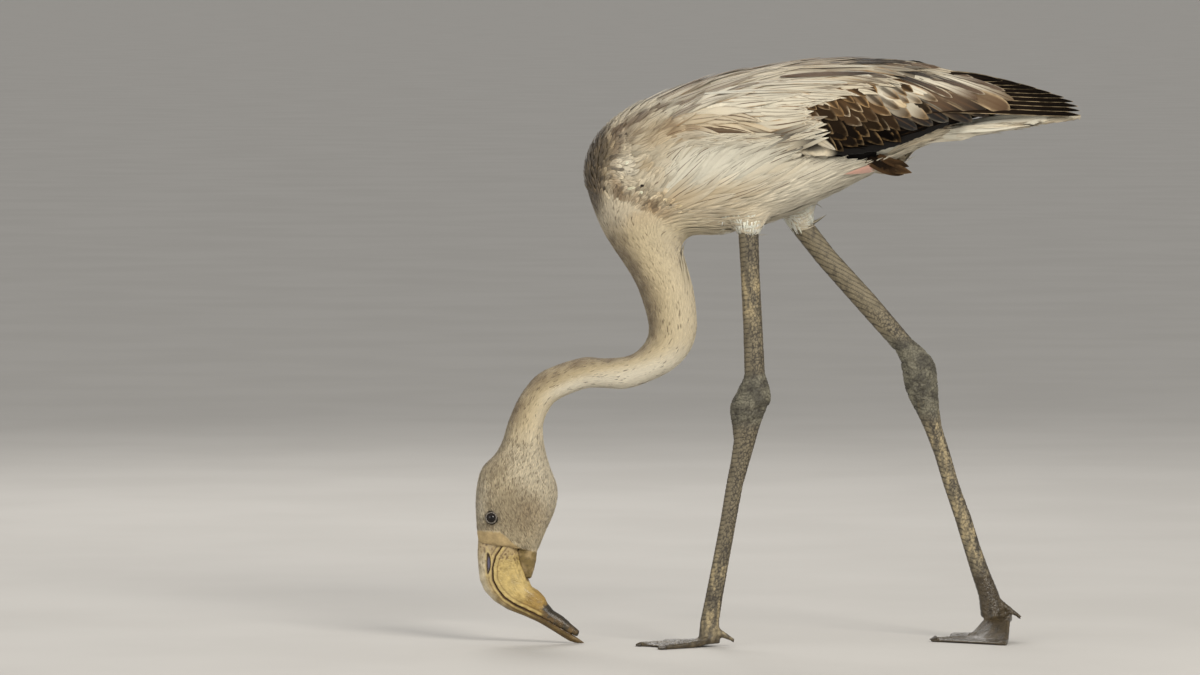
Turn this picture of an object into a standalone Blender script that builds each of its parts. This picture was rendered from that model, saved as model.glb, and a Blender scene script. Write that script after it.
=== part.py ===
"""Immature greater flamingo, life size, wading with its bill to the ground.

Metres, +Z up, the bird facing -X, its left side towards -Y. The origin is on
the floor, under the middle of the bird. Both feet and the tip of the bill
rest on small flats at z = 0. The driving dimensions below are in millimetres.

Trunk, neck and head are one run of cross-sections, each set out by a point on
the back of the bird, a point on its underside and a half width. The run is
smoothed and then parted into pieces by thin gaps.
"""

import math
from collections import namedtuple

import bmesh
import bpy
from mathutils import Vector

MM = 0.001

# ---------------------------------------------------------------- driving dimensions, mm
GAP = 0.3                # parting gap between neighbouring pieces
RECESS = 0.5             # growth of a piece, along its normals, where it is let into another
SOLE_DEPTH = 0.6         # how far a pad is modelled below the floor before it is cut flat

TRUNK_FACETS = 30
NECK_FACETS = 20
TAIL_FACETS = 12
LIMB_FACETS = 12
BILL_FACETS = 8

Section = namedtuple("Section", "name back under half_width")

# Trunk, from the rump forward and down to the collar of the neck
TRUNK = (
    Section("rump", (181, 579), (181, 533), 24),
    Section("loin", (144, 600), (131, 513), 38),
    Section("hip", (107, 616), (98, 493), 52),
    Section("thigh", (65, 617), (57, 472), 63),
    Section("saddle", (23, 615), (13, 450), 71),
    Section("back", (-19, 608), (-27, 437), 75),
    Section("keel", (-61, 601), (-57, 432), 75),
    Section("shoulder", (-103, 588), (-77, 431), 71),
    Section("mantle", (-140, 574), (-86, 430.5), 66),
    Section("breast", (-173, 554), (-92, 428.5), 60),
    Section("swell", (-195.5, 529.5), (-97, 425), 54),
    Section("crop", (-205.5, 497), (-100, 420), 48),
    Section("collar", (-198, 463), (-101, 412.5), 42),
)

# Neck, from the collar round its two bends to the nape
NECK = (
    Section("root", (-184, 432), (-98, 401), 35.5),
    Section("stem", (-164, 402), (-92, 386.5), 30.5),
    Section("waist", (-148, 374.5), (-87, 369), 27.5),
    Section("bulge", (-136, 334), (-84, 331), 24),
    Section("turn", (-141, 316.5), (-92, 306.5), 22.5),
    Section("bend", (-154, 304.5), (-110, 287.5), 20.5),
    Section("heel", (-172, 301.5), (-136, 274.5), 18),
    Section("sag", (-189, 301.5), (-163, 266.5), 17),
    Section("run", (-206, 302.5), (-197, 269), 16),
    Section("arch", (-246, 289), (-232, 255.5), 16),
    Section("drop", (-264, 273), (-240, 245), 16.5),
    Section("fall", (-277, 252), (-245, 235), 17.5),
    Section("throat", (-285, 231), (-246.5, 222.5), 19),
    Section("nape", (-290, 213), (-245, 208), 21),
)

# Head, hanging with its crown forward, from the nape to the edge of the bill
HEAD = (
    Section("occiput", (-298, 198.5), (-241.5, 193), 23.5),
    Section("crown", (-311, 186), (-237, 180.5), 26),
    Section("brow", (-316, 170), (-232, 168), 27.5),
    Section("cheek", (-318, 154), (-231, 154), 27.5),
    Section("temple", (-318, 138.5), (-235, 137.5), 25.5),
    Section("lore", (-317, 124), (-242, 122), 21.5),
    Section("face", (-316, 106), (-252, 97.5), 15.5),
)

# Where the run of sections is parted, and what each piece is called
NECK_PARTS = (
    ("neck_1_root", "collar", "waist"),
    ("neck_2_bulge", "waist", "turn"),
    ("neck_3_bend", "turn", "run"),
    ("neck_4_run", "run", "drop"),
    ("neck_5_nape", "drop", "nape"),
)

EYE_CENTRE = (-300.5, 15.8, 133.5)
EYE_RADIUS = 7.0

BillSection = namedtuple("BillSection", "culmen tomium under half_width")

# Bill, from its base to the tip: ridge, line of the mouth, and lower edge
BILL = (
    BillSection((-315, 104.5), (-287, 101), (-273, 99.5), 13.5),
    BillSection((-315.5, 92.5), (-296, 92.5), (-271, 88), 13.2),
    BillSection((-314.5, 80), (-299, 81), (-267, 79), 12.8),
    BillSection((-313, 67), (-298.5, 68), (-262.5, 68.5), 12.4),
    BillSection((-308, 55.5), (-294, 59), (-259, 60), 12.2),
    BillSection((-298, 45), (-286.5, 49.5), (-251.5, 55.5), 11.8),
    BillSection((-283.5, 36), (-275, 42), (-245, 48.5), 10.8),
    BillSection((-266.5, 29.5), (-261.5, 35.5), (-242.5, 42.5), 9.6),
    BillSection((-251, 22.5), (-248, 28.5), (-236, 34.5), 8.4),
    BillSection((-238.5, 15), (-235, 21), (-227, 29), 7.3),
    BillSection((-226, 7), (-222.5, 13.5), (-217.5, 21), 6.0),
    BillSection((-214, 0), (-211, 6.5), (-207.5, 13), 4.6),
    BillSection((-204, -4), (-202, 0.5), (-200.5, 5.5), 2.6),
)
UPPER_BILL_SHARE = 0.82  # the upper half closes like a lid, narrower than the lower
GULAR_DEPTH = ((-253, 97), (-254, 88), (-256, 79), (-259.5, 68.5))

WingSection = namedtuple("WingSection", "x top out low thickness")

# Left wing, folded, from the wrist to the tips: (y, z) at its top, widest and lower line
WING = (
    WingSection(-129, (-42, 556), (-60, 540), (-64, 521), 3.0),
    WingSection(-82, (-44, 580), (-74, 558), (-71, 514), 9.0),
    WingSection(-29, (-40, 595), (-83, 562), (-75, 511), 12.0),
    WingSection(23, (-36, 603), (-84, 562), (-74, 511), 12.0),
    WingSection(76, (-28, 614), (-77, 563), (-66, 511), 11.0),
    WingSection(128, (-13, 616.5), (-62, 567), (-51, 522), 10.0),
    WingSection(181, (-5, 603.5), (-47, 573), (-39, 543), 9.0),
    WingSection(233, (-4, 596.5), (-35, 574), (-30, 554), 7.0),
    WingSection(275, (-4, 585), (-27, 570), (-24, 554.5), 5.5),
    WingSection(302, (-5, 576.5), (-20, 567), (-18, 556.5), 4.0),
    WingSection(317, (-7, 565), (-13, 562), (-12, 559), 2.0),
)
WING_EDGE = 1.6          # thickness along the edges of a folded wing
PRIMARIES_FROM = 181     # x where the coverts end and the long flight feathers go on
DROOP_CENTRE = 118       # the right wing hangs a little lower round this x
DROOP_LENGTH = 26
DROOP_DEPTH = 36

# Tail under the wing tips: x, upper z, lower z, half width
TAIL = (
    (182, 545, 533, 23),
    (207, 551, 533.5, 30),
    (233, 552, 538, 33),
    (260, 552.5, 542, 30),
    (290, 553.5, 549, 22),
    (315, 556, 553, 9),
)

LEG_SIDE = 38            # each leg stands this far from the middle plane

LegSection = namedtuple("LegSection", "front rear half_width")

LEFT_LEG = {
    "thigh": (
        LegSection((-54, 462), (-8, 462), 20),
        LegSection((-48, 441), (-14, 441), 16),
        LegSection((-43.5, 428.5), (-20, 428.5), 11),
    ),
    "shank": (
        LegSection((-43, 428), (-21, 428), 9.5),
        LegSection((-40, 395), (-20, 395), 9),
        LegSection((-37, 330), (-16.5, 330), 8.5),
        LegSection((-36, 286), (-14, 286), 9.5),
    ),
    "ankle": (
        LegSection((-36, 286), (-14, 286), 9.5),
        LegSection((-43, 269), (-8.5, 269), 12.5),
        LegSection((-50, 256), (-8, 258), 13.5),
        LegSection((-51, 245), (-12.5, 248), 12.5),
        LegSection((-49, 232), (-18, 235), 10),
    ),
    "tarsus": (
        LegSection((-49, 232), (-18, 235), 10),
        LegSection((-47, 216.5), (-23, 218.5), 8.5),
        LegSection((-50, 195), (-29.5, 195.5), 7.2),
        LegSection((-55, 169), (-37, 169.5), 6.8),
        LegSection((-61, 132), (-44, 132), 6.6),
        LegSection((-69, 90), (-51.5, 90), 6.8),
        LegSection((-77, 50), (-58.5, 50), 7.5),
        LegSection((-82, 26), (-62, 26), 8.5),
        LegSection((-84, 6), (-61, 6), 9.5),
    ),
}

RIGHT_LEG = {
    "thigh": (
        LegSection((-6, 466), (46, 476), 22),
        LegSection((6, 442), (40, 456), 16),
        LegSection((20.5, 424.5), (40.5, 437), 11),
    ),
    "shank": (
        LegSection((20.5, 424), (40.5, 436.5), 9.5),
        LegSection((42, 399), (61, 411.5), 9),
        LegSection((84, 351.5), (103, 365.5), 8.5),
        LegSection((124, 306.5), (142, 319.5), 9.5),
    ),
    "ankle": (
        LegSection((124, 306.5), (142, 319.5), 9.5),
        LegSection((129, 298), (157, 306.5), 12),
        LegSection((132, 283), (167, 293), 13.5),
        LegSection((135, 266.5), (169.5, 275), 13),
        LegSection((141, 252), (171, 258.5), 11),
        LegSection((149, 237.5), (172, 242.5), 9.5),
    ),
    "tarsus": (
        LegSection((149, 237.5), (172, 242.5), 9.5),
        LegSection((156, 222.5), (174, 226), 8),
        LegSection((166, 196.5), (182.5, 199.5), 7),
        LegSection((175.5, 165), (191.5, 168), 6.8),
        LegSection((188, 128), (205, 131.5), 6.6),
        LegSection((197.5, 96.5), (215, 99.5), 6.8),
        LegSection((205.5, 70), (224, 75), 7.5),
        LegSection((213, 47), (234, 51.5), 8.5),
        LegSection((215.5, 24), (240.5, 30.6), 10),
    ),
}

Foot = namedtuple("Foot", "heel_x side turns lengths lift step_from step_to")

# Turns are the toes' headings from straight ahead, degrees, towards +Y: outer to inner toe
LEFT_FOOT = Foot(heel_x=-58, side=-LEG_SIDE, turns=(-32, 0, 30), lengths=(84, 92, 76),
                 lift=3.0, step_from=14, step_to=40)
RIGHT_FOOT = Foot(heel_x=249, side=LEG_SIDE, turns=(-78, -12, 36), lengths=(70, 90, 82),
                  lift=21.0, step_from=22, step_to=50)
TOE_HALF_WIDTH = 5.0
TOE_HEIGHT = 8.5
TOE_TIP_HEIGHT = 5.0
WEB_THICKNESS = 2.2
WEB_LIFT = 0.9           # the web stays this far off the floor between the toes
WEB_SCALLOP = 0.2        # how far the free edge of the web draws back
PAD_TURN = 4             # degrees each side of a toe's line that rest on the floor
FLARE_TURN = 9           # degrees each side where the toe has thinned into the web
REACH_STEPS = (0.05, 0.17, 0.27, 0.36, 0.46, 0.58, 0.72, 0.86, 0.95, 1.0)

# Hind toes: root and tip, (x, z), with their radii
LEFT_HIND_TOE = ((-67, 17), (-46, 6), 5.0, 1.6)
RIGHT_HIND_TOE = ((233, 41), (258, 24.5), 5.0, 1.6)

# Colours, linear, with roughness
FINISHES = {
    "down": ((0.56, 0.48, 0.36), 0.85),
    "plume": ((0.68, 0.62, 0.50), 0.8),
    "wing": ((0.11, 0.08, 0.055), 0.7),
    "flight": ((0.035, 0.025, 0.02), 0.6),
    "horn": ((0.60, 0.42, 0.15), 0.4),
    "bare_skin": ((0.30, 0.22, 0.12), 0.55),
    "leg": ((0.16, 0.15, 0.12), 0.6),
    "mud": ((0.10, 0.08, 0.04), 0.3),
    "eye": ((0.01, 0.01, 0.01), 0.08),
}


# ---------------------------------------------------------------- modelling helpers
def finish(name):
    """The Principled material of this name, made on first use."""
    if name in bpy.data.materials:
        return bpy.data.materials[name]
    colour, roughness = FINISHES[name]
    material = bpy.data.materials.new(name)
    material.use_nodes = True
    shader = material.node_tree.nodes["Principled BSDF"]
    shader.inputs["Base Color"].default_value = (*colour, 1.0)
    shader.inputs["Roughness"].default_value = roughness
    material.diffuse_color = (*colour, 1.0)
    return material


def piece(name, bm, look):
    """Turn a bmesh in millimetres into a named object of the bird."""
    bmesh.ops.triangulate(bm, faces=bm.faces)
    bmesh.ops.scale(bm, vec=(MM, MM, MM), verts=bm.verts)
    bmesh.ops.recalc_face_normals(bm, faces=bm.faces)
    mesh = bpy.data.meshes.new(name)
    bm.to_mesh(mesh)
    bm.free()
    mesh.shade_smooth()
    mesh.set_sharp_from_angle(angle=math.radians(50))
    mesh.materials.append(finish(look))
    made = bpy.data.objects.new(name, mesh)
    bpy.context.scene.collection.objects.link(made)
    made.parent = bpy.data.objects["flamingo"]
    return made


def loft(rings):
    """A closed body through rings of points, with its two ends filled flat."""
    bm = bmesh.new()
    loops = []
    for points in rings:
        verts = [bm.verts.new(point) for point in points]
        loops.append([bm.edges.new(pair) for pair in zip(verts, verts[1:] + verts[:1])])
    for near, far in zip(loops, loops[1:]):
        bmesh.ops.bridge_loops(bm, edges=near + far)
    for end in (loops[0], loops[-1]):
        bmesh.ops.contextual_create(bm, geom=end)
    return bm


def cut_sole(bm):
    """Take off all that is below the floor, which leaves a flat at z = 0."""
    geom = bm.verts[:] + bm.edges[:] + bm.faces[:]
    cut = bmesh.ops.bisect_plane(bm, geom=geom, plane_co=(0, 0, 0), plane_no=(0, 0, 1),
                                 dist=1e-4, clear_inner=True)
    rim = [item for item in cut["geom_cut"] if isinstance(item, bmesh.types.BMEdge)]
    bmesh.ops.holes_fill(bm, edges=rim)


def let_in(target, seated):
    """Cut a recess in the target where another piece is seated in it."""
    mesh = seated.data.copy()
    for vertex, normal in zip(mesh.vertices, [v.normal.copy() for v in mesh.vertices]):
        vertex.co += normal * RECESS * MM
    cutter = bpy.data.objects.new("cutter_" + seated.name, mesh)
    bpy.context.scene.collection.objects.link(cutter)
    cutter.hide_render = True
    cutter.display_type = "WIRE"
    recess = target.modifiers.new("recess_" + seated.name, "BOOLEAN")
    recess.operation = "DIFFERENCE"
    recess.solver = "EXACT"
    recess.object = cutter


def blend(a, b, t):
    """The value, point or section a share t of the way from a to b."""
    if isinstance(a, str):
        return a
    if isinstance(a, tuple):
        return type(a)(*[blend(p, q, t) for p, q in zip(a, b)]) if hasattr(a, "_fields") \
            else tuple(blend(p, q, t) for p, q in zip(a, b))
    return a + (b - a) * t


def smooth(stations, steps):
    """Stations joined by a Catmull-Rom curve, with steps rings to each span."""
    chain = [stations[0], *stations, stations[-1]]
    run = []
    for p0, p1, p2, p3 in zip(chain, chain[1:], chain[2:], chain[3:]):
        for step in range(steps):
            t = step / steps
            early = blend(blend(p0, p1, t + 1), blend(p1, p2, t), (t + 1) / 2)
            late = blend(blend(p1, p2, t), blend(p2, p3, t - 1), t / 2)
            run.append(blend(early, late, t))
    run.append(stations[-1])
    return run


def section_ring(section, facets, side=0.0, shift=0.0, fullness=1.0):
    """Points round a cross-section that stands on the line from back to underside.

    side moves it along Y and shift moves it square to its own plane. A
    fullness below 1 squares the oval up.
    """
    back = Vector((section[-3][0], 0, section[-3][1]))
    under = Vector((section[-2][0], 0, section[-2][1]))
    up = (back - under) / 2
    centre = (back + under) / 2 + Vector((0, side, 0))
    centre += up.cross(Vector((0, 1, 0))).normalized() * shift
    points = []
    for step in range(facets):
        turn = 2 * math.pi * step / facets
        along = math.copysign(abs(math.cos(turn)) ** fullness, math.cos(turn))
        across = math.copysign(abs(math.sin(turn)) ** fullness, math.sin(turn))
        points.append(centre + up * along + Vector((0, section[-1] * across, 0)))
    return points


def parted(sections, facets, side=0.0, first=True, last=True, fullness=1.0):
    """Rings of a run of sections, drawn in by half a gap at its parted ends."""
    rings = [section_ring(s, facets, side, 0.0, fullness) for s in sections]
    ends = []
    if first:
        ends.append((0, 1))
    if last:
        ends.append((len(rings) - 1, len(rings) - 2))
    for end, inner in ends:
        plain = section_ring(sections[end], facets, side, 0.0, fullness)
        forward = section_ring(sections[end], facets, side, GAP / 2, fullness)
        inward = sum(rings[inner], Vector()) / facets - sum(plain, Vector()) / facets
        step = forward[0] - plain[0]
        sign = 1 if step.dot(inward) > 0 else -1
        rings[end] = [point + step * sign for point in plain]
    return rings


# ---------------------------------------------------------------- trunk, neck and head
def make_body():
    """Trunk, five lengths of neck and the head, from one smoothed run of sections."""
    steps = 2
    run = smooth(TRUNK + NECK + HEAD, steps)
    place = {section.name: steps * i for i, section in enumerate(TRUNK + NECK + HEAD)}
    trunk_run = run[:place["collar"] + 1]
    trunk = piece("trunk", loft(parted(trunk_run, TRUNK_FACETS, fullness=0.92)), "plume")
    for name, start, end in NECK_PARTS:
        length = run[place[start]:place[end] + 1]
        piece(name, loft(parted(length, NECK_FACETS)), "down")
    head_run = run[place["nape"]:]
    head = piece("head", loft(parted(head_run, NECK_FACETS)), "down")
    return trunk, head


def make_eyes(head):
    """Both eyeballs, seated in the head."""
    x, y, z = EYE_CENTRE
    for name, side in (("eye_left", -y), ("eye_right", y)):
        bm = bmesh.new()
        bmesh.ops.create_icosphere(bm, subdivisions=2, radius=EYE_RADIUS)
        bmesh.ops.translate(bm, vec=(x, side, z), verts=bm.verts)
        let_in(head, piece(name, bm, "eye"))


# ---------------------------------------------------------------- bill
def half_section(edge, crest, half_width, fullness):
    """Points of half an oval that stands on its edge line, with the flat side closed."""
    foot = Vector((edge[0], 0, edge[1]))
    rise = Vector((crest[0], 0, crest[1])) - foot
    foot += rise.normalized() * GAP / 2
    points = []
    for step in range(BILL_FACETS + 1):
        turn = math.pi * (step / BILL_FACETS - 0.5)
        along = abs(math.cos(turn)) ** fullness
        points.append(foot + rise * along + Vector((0, half_width * math.sin(turn), 0)))
    return points


def make_bill():
    """Upper half with the resting tip, lower half, and the bare skin under the throat."""
    upper = [half_section(s.tomium, s.culmen, s.half_width * UPPER_BILL_SHARE, 1.0) for s in BILL]
    bm = loft(upper)
    cut_sole(bm)
    piece("upper_bill", bm, "horn")
    lower = [half_section(s.tomium, s.under, s.half_width, 0.85) for s in BILL[:-1]]
    piece("lower_bill", loft(lower), "horn")
    gular = []
    for section, reach in zip(BILL, GULAR_DEPTH):
        start = blend(section.under, reach, 0.03)
        oval = Section("gular", start, reach, section.half_width * 0.6)
        gular.append(section_ring(oval, BILL_FACETS))
    skin = piece("gular_skin", loft(gular), "bare_skin")
    let_in(skin, bpy.data.objects["lower_bill"])


# ---------------------------------------------------------------- wings and tail
def wing_ring(section):
    """Outer line of a folded wing from top to lower edge, and its inner line back."""
    top, out, low = (Vector(p) for p in (section.top, section.out, section.low))
    bow = out * 2 - (top + low) / 2
    outer, inner = [], []
    for step in range(7):
        t = step / 6
        point = top * (1 - t) ** 2 + bow * 2 * t * (1 - t) + low * t ** 2
        along = (bow - top) * (1 - t) + (low - bow) * t
        inward = Vector((-along.y, along.x)).normalized()
        depth = WING_EDGE + (section.thickness - WING_EDGE) * math.sin(math.pi * t)
        depth = min(depth, section.thickness)
        outer.append(Vector((section.x, point.x, point.y)))
        inner.append(Vector((section.x, point.x + inward.x * depth, point.y + inward.y * depth)))
    return outer + inner[::-1]


def droop(section, depth):
    """A wing section with its lower line hanging down where the wing droops."""
    fall = depth * math.exp(-((section.x - DROOP_CENTRE) / DROOP_LENGTH) ** 2)
    return section._replace(low=(section.low[0], section.low[1] - fall))


def make_wing(side_name, mirror, depth):
    """One folded wing in two pieces: arm with its coverts, and the long primaries."""
    split = next(i for i, s in enumerate(WING) if s.x == PRIMARIES_FROM)
    steps = 2
    run = [droop(s, depth) for s in smooth(WING, steps)]
    spans = (("wing_", run[:steps * split + 1], "wing"),
             ("primaries_", run[steps * split:], "flight"))
    made = []
    for prefix, sections, look in spans:
        rings = [wing_ring(s) for s in sections]
        end, step = (-1, -GAP / 2) if prefix == "wing_" else (0, GAP / 2)
        rings[end] = [point + Vector((step, 0, 0)) for point in rings[end]]
        rings = [[Vector((p.x, p.y * mirror, p.z)) for p in ring] for ring in rings]
        made.append(piece(prefix + side_name, loft(rings), look))
    return made


def make_tail():
    """A flat fan under the wing tips."""
    rings = []
    for x, high, low, half_width in smooth(TAIL, 2):
        oval = Section("tail", (x, high), (x, low), half_width)
        rings.append(section_ring(oval, TAIL_FACETS, fullness=0.8))
    return piece("tail", loft(rings), "plume")


# ---------------------------------------------------------------- legs and feet
def leg_piece(name, sections, side, steps, look):
    """A length of a leg as a smoothed tube with parted ends."""
    run = smooth(sections, steps)
    return piece(name, loft(parted(run, LIMB_FACETS, side)), look)


def toe_turns(foot):
    """Headings of the foot's lines, with each line's toe and if it rests on its pad."""
    lines = []
    for index, turn in enumerate(foot.turns):
        outer = foot.turns[index - 1] if index else None
        if outer is not None:
            lines.append(((turn + outer) / 2, False))
        for offset in (-FLARE_TURN, -PAD_TURN, 0, PAD_TURN, FLARE_TURN):
            edge = (index == 0 and offset == -FLARE_TURN) or (index == 2 and offset == FLARE_TURN)
            if not edge:
                lines.append((turn + offset, abs(offset) <= PAD_TURN))
    return lines


def reach(foot, turn):
    """How far the foot goes in a heading: a toe's length, drawn back along the web."""
    if turn <= foot.turns[0]:
        return foot.lengths[0] * 0.97
    if turn >= foot.turns[-1]:
        return foot.lengths[-1] * 0.97
    index = 0 if turn <= foot.turns[1] else 1
    share = (turn - foot.turns[index]) / (foot.turns[index + 1] - foot.turns[index])
    straight = blend(foot.lengths[index], foot.lengths[index + 1], share)
    return straight * (1 - WEB_SCALLOP * math.sin(math.pi * share) ** 0.7)


def step_height(foot, distance):
    """Height of the instep over the floor at a distance from the heel."""
    share = (distance - foot.step_from) / (foot.step_to - foot.step_from)
    share = min(max(share, 0.0), 1.0)
    return foot.lift * (1 - share * share * (3 - 2 * share))


def make_foot(name, foot):
    """Three webbed toes as one plate: thick along each toe and thin across the web."""
    bm = bmesh.new()
    tops, soles = [], []
    for turn, on_pad in toe_turns(foot):
        heading = math.radians(turn)
        far = reach(foot, turn)
        top_row, sole_row = [], []
        for share in REACH_STEPS:
            distance = far * share
            gaps = [distance * math.sin(math.radians(abs(turn - t))) for t in foot.turns]
            ridge = math.exp(-(min(gaps) / TOE_HALF_WIDTH) ** 2)
            height = blend(TOE_HEIGHT, TOE_TIP_HEIGHT, share) - WEB_THICKNESS
            low = step_height(foot, distance) + (0 if on_pad else WEB_LIFT * (1 - ridge))
            x = foot.heel_x - distance * math.cos(heading)
            y = foot.side + distance * math.sin(heading)
            thick = (WEB_THICKNESS + height * ridge) * (0.55 if share == 1.0 else 1.0)
            top_row.append(bm.verts.new((x, y, low + thick)))
            sole_row.append(bm.verts.new((x, y, low)))
        tops.append(top_row)
        soles.append(sole_row)
    last = len(REACH_STEPS) - 1
    for i in range(len(tops) - 1):
        for j in range(last):
            bm.faces.new((tops[i][j], tops[i][j + 1], tops[i + 1][j + 1], tops[i + 1][j]))
            bm.faces.new((soles[i][j], soles[i + 1][j], soles[i + 1][j + 1], soles[i][j + 1]))
        bm.faces.new((tops[i][0], tops[i + 1][0], soles[i + 1][0], soles[i][0]))
        bm.faces.new((tops[i][last], soles[i][last], soles[i + 1][last], tops[i + 1][last]))
    for row, other in ((tops[0], soles[0]), (tops[-1], soles[-1])):
        for j in range(last):
            bm.faces.new((row[j], other[j], other[j + 1], row[j + 1]))
    return piece(name, bm, "mud")


def make_hind_toe(name, toe, side):
    """The small raised toe behind the foot, a tapered tube."""
    root, tip, root_radius, tip_radius = toe
    root, tip = Vector((root[0], 0, root[1])), Vector((tip[0], 0, tip[1]))
    square = (tip - root).cross(Vector((0, 1, 0))).normalized()
    rings = []
    for share in (0.0, 0.35, 0.7, 1.0):
        centre = root.lerp(tip, share)
        radius = blend(root_radius, tip_radius, share)
        high, low = centre + square * radius, centre - square * radius
        oval = Section("toe", (high.x, high.z), (low.x, low.z), radius)
        rings.append(section_ring(oval, LIMB_FACETS - 4, side))
    return piece(name, loft(rings), "mud")


def make_leg(side_name, leg, side, foot, hind_toe):
    """Thigh, shank, ankle, tarsus, webbed foot and hind toe of one leg."""
    thigh = leg_piece("thigh_" + side_name, leg["thigh"], side, 2, "plume")
    leg_piece("shank_" + side_name, leg["shank"], side, 1, "leg")
    leg_piece("ankle_" + side_name, leg["ankle"], side, 2, "leg")
    tarsus = leg_piece("tarsus_" + side_name, leg["tarsus"], side, 1, "leg")
    webbed = make_foot("foot_" + side_name, foot)
    let_in(tarsus, webbed)
    toe = make_hind_toe("hind_toe_" + side_name, hind_toe, side)
    for seated in (tarsus, webbed):
        let_in(toe, seated)
    return thigh


# ---------------------------------------------------------------- the bird
def main():
    """Build every piece of the bird in an emptied scene."""
    for item in list(bpy.data.objects):
        bpy.data.objects.remove(item, do_unlink=True)
    root = bpy.data.objects.new("flamingo", None)
    bpy.context.scene.collection.objects.link(root)

    trunk, head = make_body()
    make_eyes(head)
    make_bill()
    wings = make_wing("left", 1, 0.0) + make_wing("right", -1, DROOP_DEPTH)
    tail = make_tail()
    thighs = [
        make_leg("left", LEFT_LEG, -LEG_SIDE, LEFT_FOOT, LEFT_HIND_TOE),
        make_leg("right", RIGHT_LEG, LEG_SIDE, RIGHT_FOOT, RIGHT_HIND_TOE),
    ]
    for seated in wings + thighs:
        let_in(trunk, seated)
    for wing in wings:
        let_in(tail, wing)
    let_in(tail, trunk)


main()
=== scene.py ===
"""Greater flamingo in its first plumage, standing to feed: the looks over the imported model.

The skin of body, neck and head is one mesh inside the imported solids. Down, body feathers and
flight feathers are closed vanes laid over it; bill, eyes and legs are pieces of their own.
Lengths are in metres, and sizes given in millimetres are multiplied by MM.
"""

import logging
import math
from dataclasses import dataclass
from enum import Enum
from functools import cache
from typing import Callable, Sequence

import bmesh
import bpy
import numpy as np
from mathutils import Matrix, Vector, noise
from mathutils.bvhtree import BVHTree


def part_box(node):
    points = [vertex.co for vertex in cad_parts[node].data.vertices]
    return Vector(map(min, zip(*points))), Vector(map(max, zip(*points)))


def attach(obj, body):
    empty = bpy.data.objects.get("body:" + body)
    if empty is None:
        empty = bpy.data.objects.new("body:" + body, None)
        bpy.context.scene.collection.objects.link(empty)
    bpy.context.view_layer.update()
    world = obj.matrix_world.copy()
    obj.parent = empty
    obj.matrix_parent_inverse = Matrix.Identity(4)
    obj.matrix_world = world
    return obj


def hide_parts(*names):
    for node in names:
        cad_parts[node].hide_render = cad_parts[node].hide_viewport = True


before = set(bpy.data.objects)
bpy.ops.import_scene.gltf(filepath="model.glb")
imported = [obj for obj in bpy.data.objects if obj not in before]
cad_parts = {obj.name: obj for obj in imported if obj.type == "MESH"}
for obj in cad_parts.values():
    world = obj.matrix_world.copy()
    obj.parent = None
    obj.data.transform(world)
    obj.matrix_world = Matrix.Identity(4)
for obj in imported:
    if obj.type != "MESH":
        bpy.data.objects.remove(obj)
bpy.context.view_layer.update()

log = logging.getLogger("flamingo")

Array = np.ndarray
Point = tuple[float, float]
Field = Callable[[Array], Array]  # what it says of each place, one per row
Mesh = bpy.types.Mesh
Material = bpy.types.Material
Socket = bpy.types.NodeSocket

MM = 0.001
WELD = 1e-6
TINY = 1e-9  # the least length that a vector is divided by
PATCH = 0.003  # how wide one tuft is on the coat's own map
SWELL = 0.35 * MM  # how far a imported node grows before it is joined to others
NEAR_SIDE, FAR_SIDE = -1, 1  # the sign of y on the bird's left and right
SIDES = {NEAR_SIDE: "left", FAR_SIDE: "right"}


# ---------------------------------------------------------------- colours and finishes


class Tone(Enum):
    """The plumage's and the bare parts' colours, as a screen shows them."""

    HEAD_BUFF = (200, 185, 153)
    HEAD_SPECK = (118, 101, 78)
    NECK_CREAM = (212, 195, 158)
    NECK_PALE = (240, 231, 208)
    NECK_BROWN = (118, 99, 72)
    BREAST_GREY = (78, 68, 54)
    # a brown of some coverts, also laid as painted shade along creases of the body
    BROWN_AND_CREASE_SHADE = (142, 114, 80)
    WHITE = (234, 229, 210)
    SATIN = (228, 219, 197)
    CREAM = (216, 203, 176)
    BUFF = (214, 190, 150)
    GOLD = (176, 136, 84)
    STREAK = (88, 64, 41)
    BROWN = (98, 75, 52)
    DARK = (40, 31, 23)
    BLACK = (13, 10, 8)
    PINK = (204, 158, 140)
    LORE = (160, 140, 103)
    GULAR = (108, 92, 56)
    BILL_RIDGE = (190, 177, 148)
    BILL_PALE = (188, 167, 110)
    BILL_YELLOW = (168, 140, 76)
    BILL_GOLD = (146, 117, 58)
    BILL_LINE = (72, 47, 22)
    BILL_TIP = (27, 27, 25)
    BILL_MUD = (80, 62, 34)
    BILL_PIT = (78, 52, 26)
    NOSTRIL_RIM = (46, 30, 18)
    NOSTRIL = (96, 92, 112)
    LEG_HORN = (84, 76, 62)
    LEG_GROOVE_AND_FOLD_SHADE = (36, 30, 25)
    LEG_DUST = (144, 133, 106)
    LEG_JOINT = (104, 101, 86)
    DRY_MUD = (155, 140, 107)
    WET_MUD = (55, 44, 26)

    @property
    def linear(self) -> Array:
        """The same colour in the linear values that a shader reads."""
        shown = np.array(self.value) / 255
        return np.where(shown <= 0.04045, shown / 12.92, ((shown + 0.055) / 1.055) ** 2.4)

    def rows(self, count: int) -> Array:
        """The linear colour once for each of so many places."""
        return np.tile(self.linear, (count, 1))


def ease(low: float, high: float, value: Array) -> Array:
    """0 below low, 1 above high and a soft rise between; low may be the larger."""
    t = np.clip((np.asarray(value, float) - low) / (high - low), 0, 1)
    return t * t * (3 - 2 * t)


def blend(first: Array, second: Tone | Array, share: Array) -> Array:
    """The rows of first turned towards second by each row's share."""
    share = np.asarray(share, float)[..., None]
    return first * (1 - share) + (second.linear if isinstance(second, Tone) else second) * share


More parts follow.
